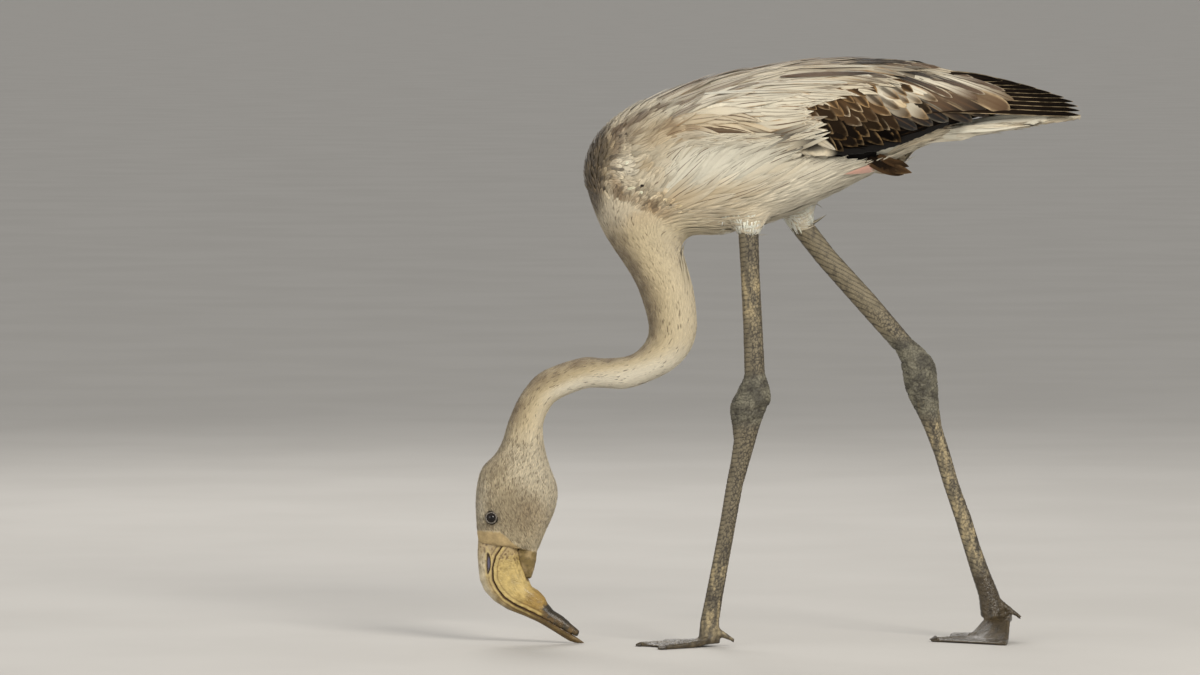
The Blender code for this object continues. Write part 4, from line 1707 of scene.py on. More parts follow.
# Outlines on the body's side, as along and up
NECK_ROOT = ((-0.1, 0.30), (0.03, 0.30), (0.10, 0.26), (0.17, 0.20), (0.23, 0.13), (0.28, 0.05),
             (0.28, -0.2), (-0.1, -0.2))
BREAST = ((-0.1, 0.30), (0.03, 0.30), (0.10, 0.26), (0.17, 0.20), (0.24, 0.20), (0.157, 0.30),
          (0.081, 0.374), (0.09, 0.47), (0.085, 0.56), (0.05, 0.66), (-0.1, 0.66))
SHOULDER = ((0.05, 0.66), (0.085, 0.56), (0.09, 0.47), (0.081, 0.374), (0.157, 0.30), (0.20, 0.36),
            (0.157, 0.45), (0.19, 0.55), (0.225, 0.60), (0.17, 0.74), (0.10, 0.72))
SCAPULARS = ((-0.1, 0.66), (0.05, 0.66), (0.10, 0.72), (0.17, 0.74), (0.225, 0.60), (0.19, 0.55),
             (0.32, 0.56), (0.48, 0.553), (0.58, 0.60), (0.60, 0.78), (0.74, 0.86), (0.80, 0.96),
             (0.80, 1.1), (-0.1, 1.1))
FLANK = ((0.20, 0.36), (0.157, 0.45), (0.19, 0.55), (0.32, 0.56), (0.48, 0.553), (0.60, 0.54),
         (0.66, 0.50), (0.70, 0.43), (0.59, 0.38), (0.483, 0.28), (0.32, 0.24), (0.24, 0.20), (0.157, 0.30))
BELLY = ((0.24, 0.20), (0.32, 0.24), (0.483, 0.28), (0.59, 0.38), (0.70, 0.43), (0.82, 0.47),
         (0.82, -0.2), (0.28, -0.2), (0.28, 0.05), (0.23, 0.13), (0.17, 0.20))

WING_CLEAR = ((0.60, 0.75), (0.63, 0.64), (0.655, 0.565), (0.60, 0.54), (0.61, 0.51), (0.70, 0.488),
              (0.782, 0.478), (0.809, 0.498), (0.863, 0.534), (0.917, 0.575), (0.972, 0.612),
              (0.999, 0.632), (1.053, 0.668), (1.135, 0.69), (1.45, 0.70), (1.45, 1.1), (0.95, 1.1),
              (0.90, 0.90), (0.82, 0.85), (0.72, 0.79))

TRACTS = (
    Tract("undertail_coverts", "body_plumage", STRAND, SILK,
          ((0.84, 0.42), (1.5, 0.5), (1.5, 0.74), (1.1, 0.70), (0.92, 0.62), (0.84, 0.52)),
          2.8, (24, 32), 2.4, 0.3, 2.0, 0.5, sway=6, shaft=0.2, edge=0.0, fade=0.3, stretch=2.2,
          trails=True),
    Tract("rump_feathers", "body_plumage", LANCE, CONTOUR,
          ((0.76, 0.5), (1.5, 0.5), (1.5, 1.1), (0.76, 1.1)),
          3.6, (26, 40), 3.4, 0.3, 2.2, 0.2, sway=7, shaft=0.7, edge=0.6, accent=Tone.GOLD, shade=0.1,
          stretch=2.4, trails=True, lined=0.6, mixed=0.2, between=30),
    Tract("belly_strands", "body_plumage", STRAND, SILK, BELLY, 2.7, (28, 42), 2.2, 0.3, 2.6, 0.3,
          sway=6, shaft=0.5, edge=0.0, fade=0.3, shade=0.06, stretch=2.6, lined=0.15),
    Tract("flank_plumes", "body_plumage", LANCE, SILK, FLANK, 4.0, (50, 80), 4.2, 0.3, 3.2, 0.25,
          sway=4, shaft=1.0, edge=0.0, fade=0.5, shade=0.05, stretch=3.0, lined=0.6),
    Tract("breast_scales", "body_plumage", POINTED, CONTOUR, BREAST, 2.6, (10, 14), 2.2, 0.3, 2.7, 0.25,
          sway=10, shaft=0.6, edge=1.0, accent=Tone.BUFF, shade=0.32, stretch=1.6, overlap=0.035),
    Tract("shoulder_feathers", "body_plumage", POINTED, CONTOUR, SHOULDER, 3.0, (20, 32), 2.7, 0.3, 2.8, 0.2,
          sway=9, shaft=0.55, edge=0.3, accent=Tone.NECK_BROWN, shade=0.1, stretch=2.6, overlap=0.04,
          lined=0.5),
    Tract("scapulars", "wing_coverts", LANCE, CONTOUR, SCAPULARS, 5.4, (34, 84), 5.2, 0.4, 3.1, 0.15,
          sway=5, shaft=1.0, edge=1.0, accent=Tone.GOLD, fade=0.15, shade=0.07, stretch=3.4, soften=0.6,
          mixed=0.11, lined=0.85),
)


# ---------------------------------------------------------------- wings and tail


@dataclass(frozen=True)
class Quill:
    """One large feather of a folded wing, from root to tip on the body's side."""

    root: Point
    tip: Point
    half_width: float  # millimetres, as the next two are
    layer: float  # how far its surface lies below the wing's own
    tone: Tone
    end: Tone
    bow: float = 0.0  # how far its middle rises above a straight line
    edge: float = 0.5
    shaft: float = 0.5
    accent: Tone = Tone.BUFF


class WingFace:
    """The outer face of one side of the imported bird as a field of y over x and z."""

    STEP = 3 * MM
    MARGIN = 24 * MM, 30 * MM  # how far the field runs on past the nodes, before and after
    OUTSIDE = 0.3  # how far from the middle plane it is sampled from
    SMOOTHINGS = 4

    def __init__(self, side: int, nodes: Sequence[str]) -> None:
        """Samples the nodes from the side and fills and smooths the field.

        Args:
            side: which side is looked at.
            nodes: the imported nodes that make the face.
        """
        self.side = side
        form = Surface(joined_nodes(nodes, 0.0))
        low, high = form.points.min(0) - self.MARGIN[0], form.points.max(0) + self.MARGIN[1]
        self.origin = np.array([low[0], low[2]])
        self.shape = tuple(int((high[k] - low[k]) / self.STEP) + 2 for k in (0, 2))
        seen = np.full(self.shape, np.nan)
        for i, j in np.ndindex(self.shape):
            start = (low[0] + i * self.STEP, side * self.OUTSIDE, low[2] + j * self.STEP)
            hit = form.tree.ray_cast(start, (0.0, -side, 0.0))
            if hit[0] is not None:
                seen[i, j] = hit[0].y
        self.field = self.filled(seen)
        self.slope = np.gradient(self.field, self.STEP)

    def filled(self, values: Array) -> Array:
        """Grows a field's empty places from their neighbours, then smooths it.

        Args:
            values: the field, with no number where nothing was hit.

        Returns:
            The whole field.
        """
        while np.isnan(values).any():
            wide = np.pad(values, 1, constant_values=np.nan)
            near = np.stack([wide[1 + i:wide.shape[0] - 1 + i, 1 + j:wide.shape[1] - 1 + j]
                             for i in (-1, 0, 1) for j in (-1, 0, 1)])
            known = ~np.isnan(near)
            grown = np.where(known, near, 0).sum(0) / np.maximum(known.sum(0), 1)
            values = np.where(np.isnan(values) & known.any(0), grown, values)
        for _ in range(self.SMOOTHINGS):
            wide = np.pad(values, 1, mode="edge")
            values = (wide[:-2, 1:-1] + wide[2:, 1:-1] + wide[1:-1, :-2] + wide[1:-1, 2:] + 4 * values) / 8
        return values

    def read(self, table: Array, flat: Array) -> Array:
        """Reads a table between its samples.

        Args:
            table: one value for each sample.
            flat: the x and z of each place.

        Returns:
            The value at each place.
        """
        at = (flat - self.origin) / self.STEP
        at = np.clip(at, 0, np.array(self.shape) - 1.001)
        low, share = at.astype(int), at - at.astype(int)
        i, j, s, t = low[..., 0], low[..., 1], share[..., 0], share[..., 1]
        return ((table[i, j] * (1 - s) + table[i + 1, j] * s) * (1 - t)
                + (table[i, j + 1] * (1 - s) + table[i + 1, j + 1] * s) * t)

    def lift(self, flat: Array) -> tuple[Array, Array]:
        """Puts places on the face.

        Args:
            flat: the x and z of each.

        Returns:
            The places and the normals there.
        """
        y = self.read(self.field, flat)
        places = np.stack([flat[..., 0], y, flat[..., 1]], -1)
        normals = np.stack([-self.read(self.slope[0], flat), np.ones_like(y),
                            -self.read(self.slope[1], flat)], -1) * self.side
        return places, unit(normals)


@dataclass
class FoldedWing:
    """One folded wing: primaries, secondaries, tertials and rows of coverts."""

    PRIMARIES = (
        ((0.885, 0.76), (1.352, 0.716)), ((0.88, 0.79), (1.352, 0.737)), ((0.88, 0.81), (1.347, 0.758)),
        ((0.875, 0.83), (1.334, 0.780)), ((0.87, 0.85), (1.309, 0.801)), ((0.865, 0.87), (1.273, 0.822)),
        ((0.86, 0.885), (1.234, 0.843)), ((0.855, 0.90), (1.190, 0.862)), ((0.85, 0.91), (1.140, 0.880)),
    )
    EDGE = ((0.60, 0.50), (0.70, 0.487), (0.782, 0.482), (0.809, 0.500), (0.863, 0.536), (0.917, 0.577),
            (0.972, 0.614), (0.999, 0.634), (1.053, 0.670), (1.135, 0.692), (1.25, 0.700))  # its lower line
    SECONDARY_TIPS = (0.80, 0.85, 0.90, 0.945, 0.99, 1.035, 1.08, 1.13, 1.19)
    TERTIALS = (
        Quill((0.72, 0.80), (0.905, 0.630), 6.5, 0.70, Tone.DARK, Tone.BLACK, 2, 0.12, 0.4),
        Quill((0.76, 0.84), (0.948, 0.650), 7.0, 0.55, Tone.BROWN, Tone.BLACK, 2, 0.18, 0.5),
        Quill((0.80, 0.86), (0.990, 0.668), 7.5, 0.40, Tone.DARK, Tone.BLACK, 2, 0.25, 0.5, Tone.CREAM),
        Quill((0.84, 0.87), (1.055, 0.668), 8.0, 0.25, Tone.BROWN, Tone.BLACK, 2, 0.15, 0.5),
        Quill((0.87, 0.885), (1.10, 0.698), 8.0, 0.10, Tone.BROWN, Tone.DARK, 2, 0.25, 0.5),
        Quill((0.92, 0.90), (1.158, 0.727), 9.5, -0.05, Tone.NECK_BROWN, Tone.BROWN, 2, 0.6, 0.5),
        Quill((0.79, 0.90), (0.935, 0.805), 5.0, -0.20, Tone.SATIN, Tone.SATIN, 1, 0.9, 0.2, Tone.GOLD),
        Quill((0.79, 0.83), (0.875, 0.745), 4.5, -0.35, Tone.SATIN, Tone.BUFF, 1, 0.9, 0.2, Tone.BROWN),
        Quill((0.83, 0.92), (1.00, 0.790), 4.6, -0.50, Tone.DARK, Tone.BROWN, 2, 0.9, 0.7, Tone.CREAM),
        Quill((0.90, 0.90), (1.07, 0.780), 5.4, -0.65, Tone.SATIN, Tone.BROWN, 2, 0.9, 0.4, Tone.BROWN),
        Quill((0.86, 0.935), (1.09, 0.805), 4.6, -0.80, Tone.DARK, Tone.BROWN, 2, 0.9, 0.9, Tone.CREAM),
        Quill((0.93, 0.93), (1.168, 0.775), 5.0, -0.95, Tone.SATIN, Tone.NECK_BROWN, 2, 0.7, 0.9, Tone.BROWN),
        Quill((0.90, 0.95), (1.145, 0.820), 4.2, -1.10, Tone.DARK, Tone.BROWN, 2, 0.9, 0.9, Tone.CREAM),
        Quill((0.86, 0.955), (1.10, 0.855), 3.4, -1.25, Tone.SATIN, Tone.BROWN, 2, 0.7, 1.0, Tone.BROWN),
        Quill((0.83, 0.97), (1.06, 0.885), 3.6, -1.40, Tone.DARK, Tone.BROWN, 2, 0.9, 1.0, Tone.CREAM),
        Quill((0.78, 0.975), (1.01, 0.912), 3.4, -1.55, Tone.BROWN, Tone.CREAM, 1, 0.9, 1.0, Tone.CREAM),
        Quill((0.76, 0.985), (0.97, 0.935), 3.2, -1.70, Tone.DARK, Tone.BROWN, 1, 0.9, 1.0, Tone.CREAM),
    )
    LONG_SCAPULARS = (
        Quill((0.54, 0.83), (0.67, 0.750), 5.5, -0.5, Tone.SATIN, Tone.CREAM, 1, 0.7, 0.5, Tone.GOLD),
        Quill((0.33, 0.815), (0.62, 0.82), 3.8, -0.62, Tone.WHITE, Tone.CREAM, 2, 0.7, 0.9, Tone.GOLD),
        Quill((0.46, 0.855), (0.745, 0.862), 4.2, -0.74, Tone.SATIN, Tone.WHITE, 3, 0.8, 0.7, Tone.GOLD),
        Quill((0.66, 0.92), (0.86, 0.885), 4.0, -0.86, Tone.WHITE, Tone.CREAM, 2, 0.8, 0.8, Tone.BROWN),
        Quill((0.60, 0.88), (0.80, 0.855), 4.5, -0.98, Tone.CREAM, Tone.NECK_BROWN, 2, 0.8, 0.8, Tone.GOLD),
        Quill((0.535, 0.900), (0.80, 0.912), 4.4, -1.1, Tone.BROWN, Tone.DARK, 1, 0.3, 0.3, Tone.CREAM),
        Quill((0.52, 0.940), (0.80, 0.946), 3.0, -1.22, Tone.CREAM, Tone.WHITE, 1, 0.6, 0.8, Tone.GOLD),
        Quill((0.67, 0.968), (0.88, 0.966), 2.6, -1.34, Tone.DARK, Tone.DARK, 0, 0.4, 0.3, Tone.CREAM),
        Quill((0.74, 0.985), (0.95, 0.950), 2.4, -1.46, Tone.DARK, Tone.BROWN, 1, 0.6, 0.3, Tone.CREAM),
        Quill((0.615, 0.605), (0.683, 0.530), 4.4, -1.0, Tone.CREAM, Tone.SATIN, 0, 0.9, 0.3, Tone.DARK),
    )
    VENT = (
        Quill((0.768, 0.470), (0.872, 0.396), 5.6, -2.0, Tone.BROWN, Tone.DARK, -1, 0.4, 0.5,
              Tone.NECK_BROWN),
        Quill((0.775, 0.485), (0.893, 0.402), 5.8, -2.3, Tone.DARK, Tone.BROWN, -1, 0.5, 0.5,
              Tone.NECK_BROWN),
        Quill((0.80, 0.50), (0.885, 0.435), 4.8, -2.6, Tone.BROWN, Tone.DARK, -1, 0.4, 0.5,
              Tone.NECK_BROWN),
    )
    BARE_VENT = (
        Quill((0.80, 0.438), (0.706, 0.405), 8.5, -1.3, Tone.PINK, Tone.PINK, 0, 0.5, 0.0, Tone.CREAM),)
    TAIL = (
        Quill((0.80, 0.50), (1.035, 0.600), 7.0, 2.1, Tone.WHITE, Tone.SATIN, 1, 0.2, 0.3, Tone.CREAM),
        Quill((0.86, 0.535), (1.10, 0.608), 6.0, 1.9, Tone.SATIN, Tone.SATIN, 1, 0.2, 0.3, Tone.CREAM),
        Quill((0.88, 0.56), (1.14, 0.628), 7.0, 1.7, Tone.WHITE, Tone.SATIN, 1, 0.2, 0.3, Tone.CREAM),
        Quill((0.94, 0.59), (1.22, 0.645), 6.5, 1.5, Tone.SATIN, Tone.WHITE, 1, 0.2, 0.3, Tone.CREAM),
        Quill((0.98, 0.62), (1.26, 0.676), 6.5, 1.3, Tone.WHITE, Tone.SATIN, 1, 0.2, 0.3, Tone.CREAM),
        Quill((1.02, 0.64), (1.31, 0.684), 6.0, 1.1, Tone.SATIN, Tone.WHITE, 1, 0.2, 0.3, Tone.CREAM),
        Quill((1.06, 0.665), (1.345, 0.696), 5.0, 0.9, Tone.WHITE, Tone.SATIN, 0, 0.2, 0.3, Tone.CREAM),
        Quill((1.00, 0.665), (1.25, 0.700), 5.0, 1.2, Tone.WHITE, Tone.SATIN, 0, 0.2, 0.3, Tone.CREAM),
    )
    COVERT_FIELD = ((0.56, 0.80), (0.585, 0.70), (0.625, 0.60), (0.70, 0.615), (0.745, 0.645), (0.79, 0.70),
                    (0.835, 0.77), (0.87, 0.80), (0.90, 0.85), (0.86, 0.90), (0.80, 0.93), (0.74, 0.92),
                    (0.66, 0.87))

    WHITE_BAND = Mark(0.82, 0.83, 0.10, 0.04, Tone.SATIN, 0.95, -35, 0.9)  # the palest coverts
    BLACK_LINE = (0.6, 0.76, 1.0), (0.5, 0.49, 0.66)  # along and up, below which coverts turn black

    side: int
    unwrap: Unwrap
    stations: int = 10
    primary_width: float = 7.0  # millimetres, half the widest, as the next one is
    secondary_width: float = 4.6
    secondary_layers: int = 4
    covert_pitch: Point = (14.0, 9.4)  # millimetres along a row and between rows
    covert_turn: float = -37.0  # degrees that a row slants
    covert_stray: float = 1.1 * MM
    covert_width: Point = (6.4, 1.0)  # millimetres, half the widest, and what the lowest have more
    covert_length: Point = (29, 9)  # millimetres, and what the lowest have more
    quill_thickness: float = 0.06 * MM

    def __post_init__(self) -> None:
        """Samples the wing's face."""
        self.name = SIDES[self.side]
        self.face = WingFace(self.side, (f"wing_{self.name}", f"primaries_{self.name}", "trunk"))
        self.rng = np.random.default_rng(300 + self.side)

    def build(self) -> None:
        """Lays the wing's feathers from the lowest layer up."""
        primaries = [Quill(root, tip, self.primary_width, 4.9 - 0.46 * number, Tone.DARK, Tone.BLACK,
                           bow=3.0, edge=0.8, shaft=0.2)
                     for number, (root, tip) in enumerate(self.PRIMARIES)]
        self.weave(f"primaries_fan_{self.name}", primaries, FLIGHT, "flight_feathers",
                   (f"primaries_{self.name}",), vane=SABRE)
        self.secondaries()
        self.weave(f"tertials_{self.name}", self.TERTIALS, CONTOUR, "wing_coverts")
        self.coverts()
        self.weave(f"long_scapulars_{self.name}", self.LONG_SCAPULARS, CONTOUR, "wing_coverts",
                   vane=SPEAR)

    def secondaries(self) -> None:
        """Black feathers that run along the wing's lower line, each a little further back."""
        edge = np.array(self.EDGE)
        t = np.linspace(0, 1, self.stations + 1)
        runs = []
        for layer in range(self.secondary_layers):
            for tip in self.SECONDARY_TIPS:
                share = min(tip - 0.025 * layer, 1.19 - 0.09 * layer) - (0.21 - 0.03 * layer) * (1 - t)
                line = np.interp(share, edge[:, 0], edge[:, 1]) + 0.020 + 0.028 * layer + 0.05 * (1 - t)
                runs.append(np.array([BODY.place(a, u) for a, u in zip(share, line)]))
        quills = [Quill((0, 0), (0, 0), self.secondary_width, 1.75 + 0.04 * number - 0.3 * layer,
                        Tone.BLACK, Tone.BLACK, 0, 0.4 * (layer > 0), 0.25, Tone.BROWN)
                  for layer in range(self.secondary_layers) for number in range(len(self.SECONDARY_TIPS))]
        self.weave(f"secondaries_{self.name}", quills, FLIGHT, "flight_feathers", flat=np.array(runs))

    def weave(self, name: str, quills: Sequence[Quill], finish: PlumageFinish, slot: str,
              nodes: Sequence[str] = (), vane: Vane = BLADE, flat: Array | None = None,
              face: WingFace | None = None) -> None:
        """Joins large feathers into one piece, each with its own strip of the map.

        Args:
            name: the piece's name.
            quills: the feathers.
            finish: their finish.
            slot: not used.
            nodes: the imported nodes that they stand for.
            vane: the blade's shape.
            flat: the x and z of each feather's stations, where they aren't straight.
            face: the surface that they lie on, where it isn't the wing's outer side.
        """
        t = np.linspace(0, 1, self.stations + 1)
        if flat is None:
            roots = np.array([BODY.place(*q.root) for q in quills])
            tips = np.array([BODY.place(*q.tip) for q in quills])
            flat = roots[:, None] * (1 - t[:, None]) + tips[:, None] * t[:, None]
            bow = np.array([q.bow * MM for q in quills])
            flat[..., 1] += bow[:, None] * 4 * t * (1 - t)
        places, normals = (face or self.face).lift(flat)
        deep = 1.0
        if vane is SABRE:
            (places, normals), deep = self.fair(places, normals), 4.2
        sink = np.array([q.layer for q in quills])[:, None] * (0.8 + 0.2 * t) + deep * (1 - t) ** 1.5
        places = places - normals * (sink * MM)[..., None]
        count = len(quills)
        rows = (np.arange(count) + 0.5) / count
        tint, end, accent = (np.array([getattr(q, key).linear for q in quills])
                             for key in ("tone", "end", "accent"))
        trim = np.array([(q.shaft, q.edge, 0.0) for q in quills])
        lay = Lay(places, normals, np.array([q.half_width for q in quills]) * MM, tint, end,
                  np.stack([rows, np.full(count, 0.5)], 1), accent, trim,
                  np.tile([0.9 / count, 0.96], (count, 1)), self.quill_thickness, camber=0.01, soften=0.35)
        Coat(finish, slot).weave(name, vane, lay, nodes)

    def fair(self, places: Array, normals: Array) -> tuple[Array, Array]:
        """Moves stations on to the smooth bowed sheet that runs nearest to them all.

        Args:
            places: rows of stations.
            normals: the face's normals there.

        Returns:
            The places and normals on the sheet.
        """
        x, y, z = (places[..., k].ravel() for k in range(3))
        x, z = x - x.mean(), z - z.mean()
        terms = np.stack([np.ones_like(x), x, x * x, z], 1)
        _, slope, bow, rise = fit = np.linalg.lstsq(terms, y, rcond=None)[0]
        level = places.copy()
        level[..., 1] = (terms @ fit).reshape(y.shape[0] // places.shape[1], -1)
        facing = np.stack([-(slope + 2 * bow * x), np.ones_like(x), -rise * np.ones_like(x)], 1) * self.side
        return level, unit(facing).reshape(normals.shape)

    def coverts(self) -> None:
        """Rows of brown feathers with pale edges, darker and larger towards the lower edge."""
        pitch = np.array(self.covert_pitch) * MM
        turn = math.radians(self.covert_turn)
        run, cross = np.array([math.cos(turn), math.sin(turn)]), np.array([-math.sin(turn), math.cos(turn)])
        start, spots = BODY.place(0.55, 0.80), []
        for i in range(-14, 26):
            for j in range(-16, 18):
                spots.append(start + run * pitch[0] * (i + 0.5 * (j % 2)) + cross * pitch[1] * j)
        spots = np.array(spots) + self.rng.normal(0, self.covert_stray, (len(spots), 2))
        share = BODY.share(np.stack([spots[:, 0], spots[:, 0] * 0, spots[:, 1]], 1))
        within = inside(share, self.COVERT_FIELD)
        spots, share = spots[within], share[within]
        count = len(spots)
        low = ease(0.36, 0.20, share[:, 1] - np.interp(share[:, 0], *self.BLACK_LINE))
        short, longer = self.covert_length
        length = (short + longer * low) * MM * self.rng.uniform(0.85, 1.15, count)
        lean = np.radians(-38 + 14 * ease(0.7, 1.05, share[:, 0]) + self.rng.normal(0, 5, count))
        t = np.linspace(0, 1, 6)
        way = np.stack([np.cos(lean), np.sin(lean)], 1)
        flat = spots[:, None] + way[:, None] * length[:, None, None] * t[:, None]
        places, normals = self.face.lift(flat)
        rise = -1.1 + 2.0 * t + self.rng.uniform(-0.04, 0.04, count)[:, None]
        places = places + normals * (rise * MM)[..., None]
        middle = blend(np.tile(Tone.BROWN.linear * 0.9, (count, 1)), Tone.BLACK, 0.97 * low)
        middle *= np.clip(1 + self.rng.normal(0, 0.3, count), 0.4, 1.8)[:, None]
        middle = blend(middle, Tone.BROWN_AND_CREASE_SHADE, 0.8 * (1 - low) * self.rng.random(count) ** 3)
        pale = self.WHITE_BAND.cover(share, ripple(places[:, 0], 11 * MM, 7))
        base = blend(middle, Tone.SATIN, pale)
        middle = blend(middle, Tone.BROWN_AND_CREASE_SHADE, 0.7 * pale)
        trim = np.zeros((count, 3))
        trim[:, 0], trim[:, 1] = 0.75 * (1 - low), self.rng.uniform(0.4, 1.0, count) * (1 - 0.5 * low)
        accent = blend(Tone.BUFF.rows(count), Tone.GOLD, self.rng.uniform(0.3, 1, count))
        accent = blend(accent, Tone.SATIN, 3.2 * low * (1 - low) * self.rng.random(count))
        width, lower = self.covert_width
        half_width = (width + lower * low) * MM * self.rng.uniform(0.82, 1.15, count)
        lay = Lay(places, normals, half_width, base, middle, self.unwrap.at(places[:, 0]), accent, trim,
                  camber=0.06, soften=0.5)
        Coat(COVERT, "wing_coverts").weave(f"coverts_{self.name}", COVERLET, lay)

    def rear(self) -> None:
        """The pink skin and brown feathers behind the thigh, and the long white feathers under the tail."""
        trunk = WingFace(self.side, ("trunk",))
        self.weave(f"vent_feathers_{self.name}", self.VENT, COVERT, "wing_coverts", vane=COVERLET, face=trunk)
        self.weave(f"bare_vent_{self.name}", self.BARE_VENT, SOFT, "bare_skin", vane=WEDGE, face=trunk)
        self.weave(f"undertail_long_{self.name}", self.TAIL, SILK, "body_plumage", vane=SPEAR,
                   face=WingFace(self.side, ("trunk", "tail")))


# ---------------------------------------------------------------- bill


@dataclass(frozen=True)
class HornFinish:
    """Waxy horn, a little wet, that carries its colour in an attribute."""

    name: str = "waxy_horn"
    gloss: float = 0.32
    coat: float = 0.12
    coat_roughness: float = 0.14
    relief: float = 0.0005

    @cache
    def material(self) -> Material:
        """Builds the horn's material once.

        Returns:
            The material.
        """
        g = Graph(self.name)
        fine, streak, lumps = g.noise(700.0), g.noise(160.0, 4.0), g.noise(330.0, 2.0)
        g.set(Base_Color=g.tinted(g.fit(g.rise(streak, 0.3, 0.7), 0.3, 0.78)),
              Roughness=g.fit(g.rise(streak, 0.35, 0.65), 0.3, 0.32),
              Specular_IOR_Level=self.gloss, Coat_Weight=self.coat, Coat_Roughness=self.coat_roughness)
        g.bump(g.math("ADD", fine, g.math("MULTIPLY", g.math("ADD", streak, lumps), 1.5)), self.relief)
        return g.material


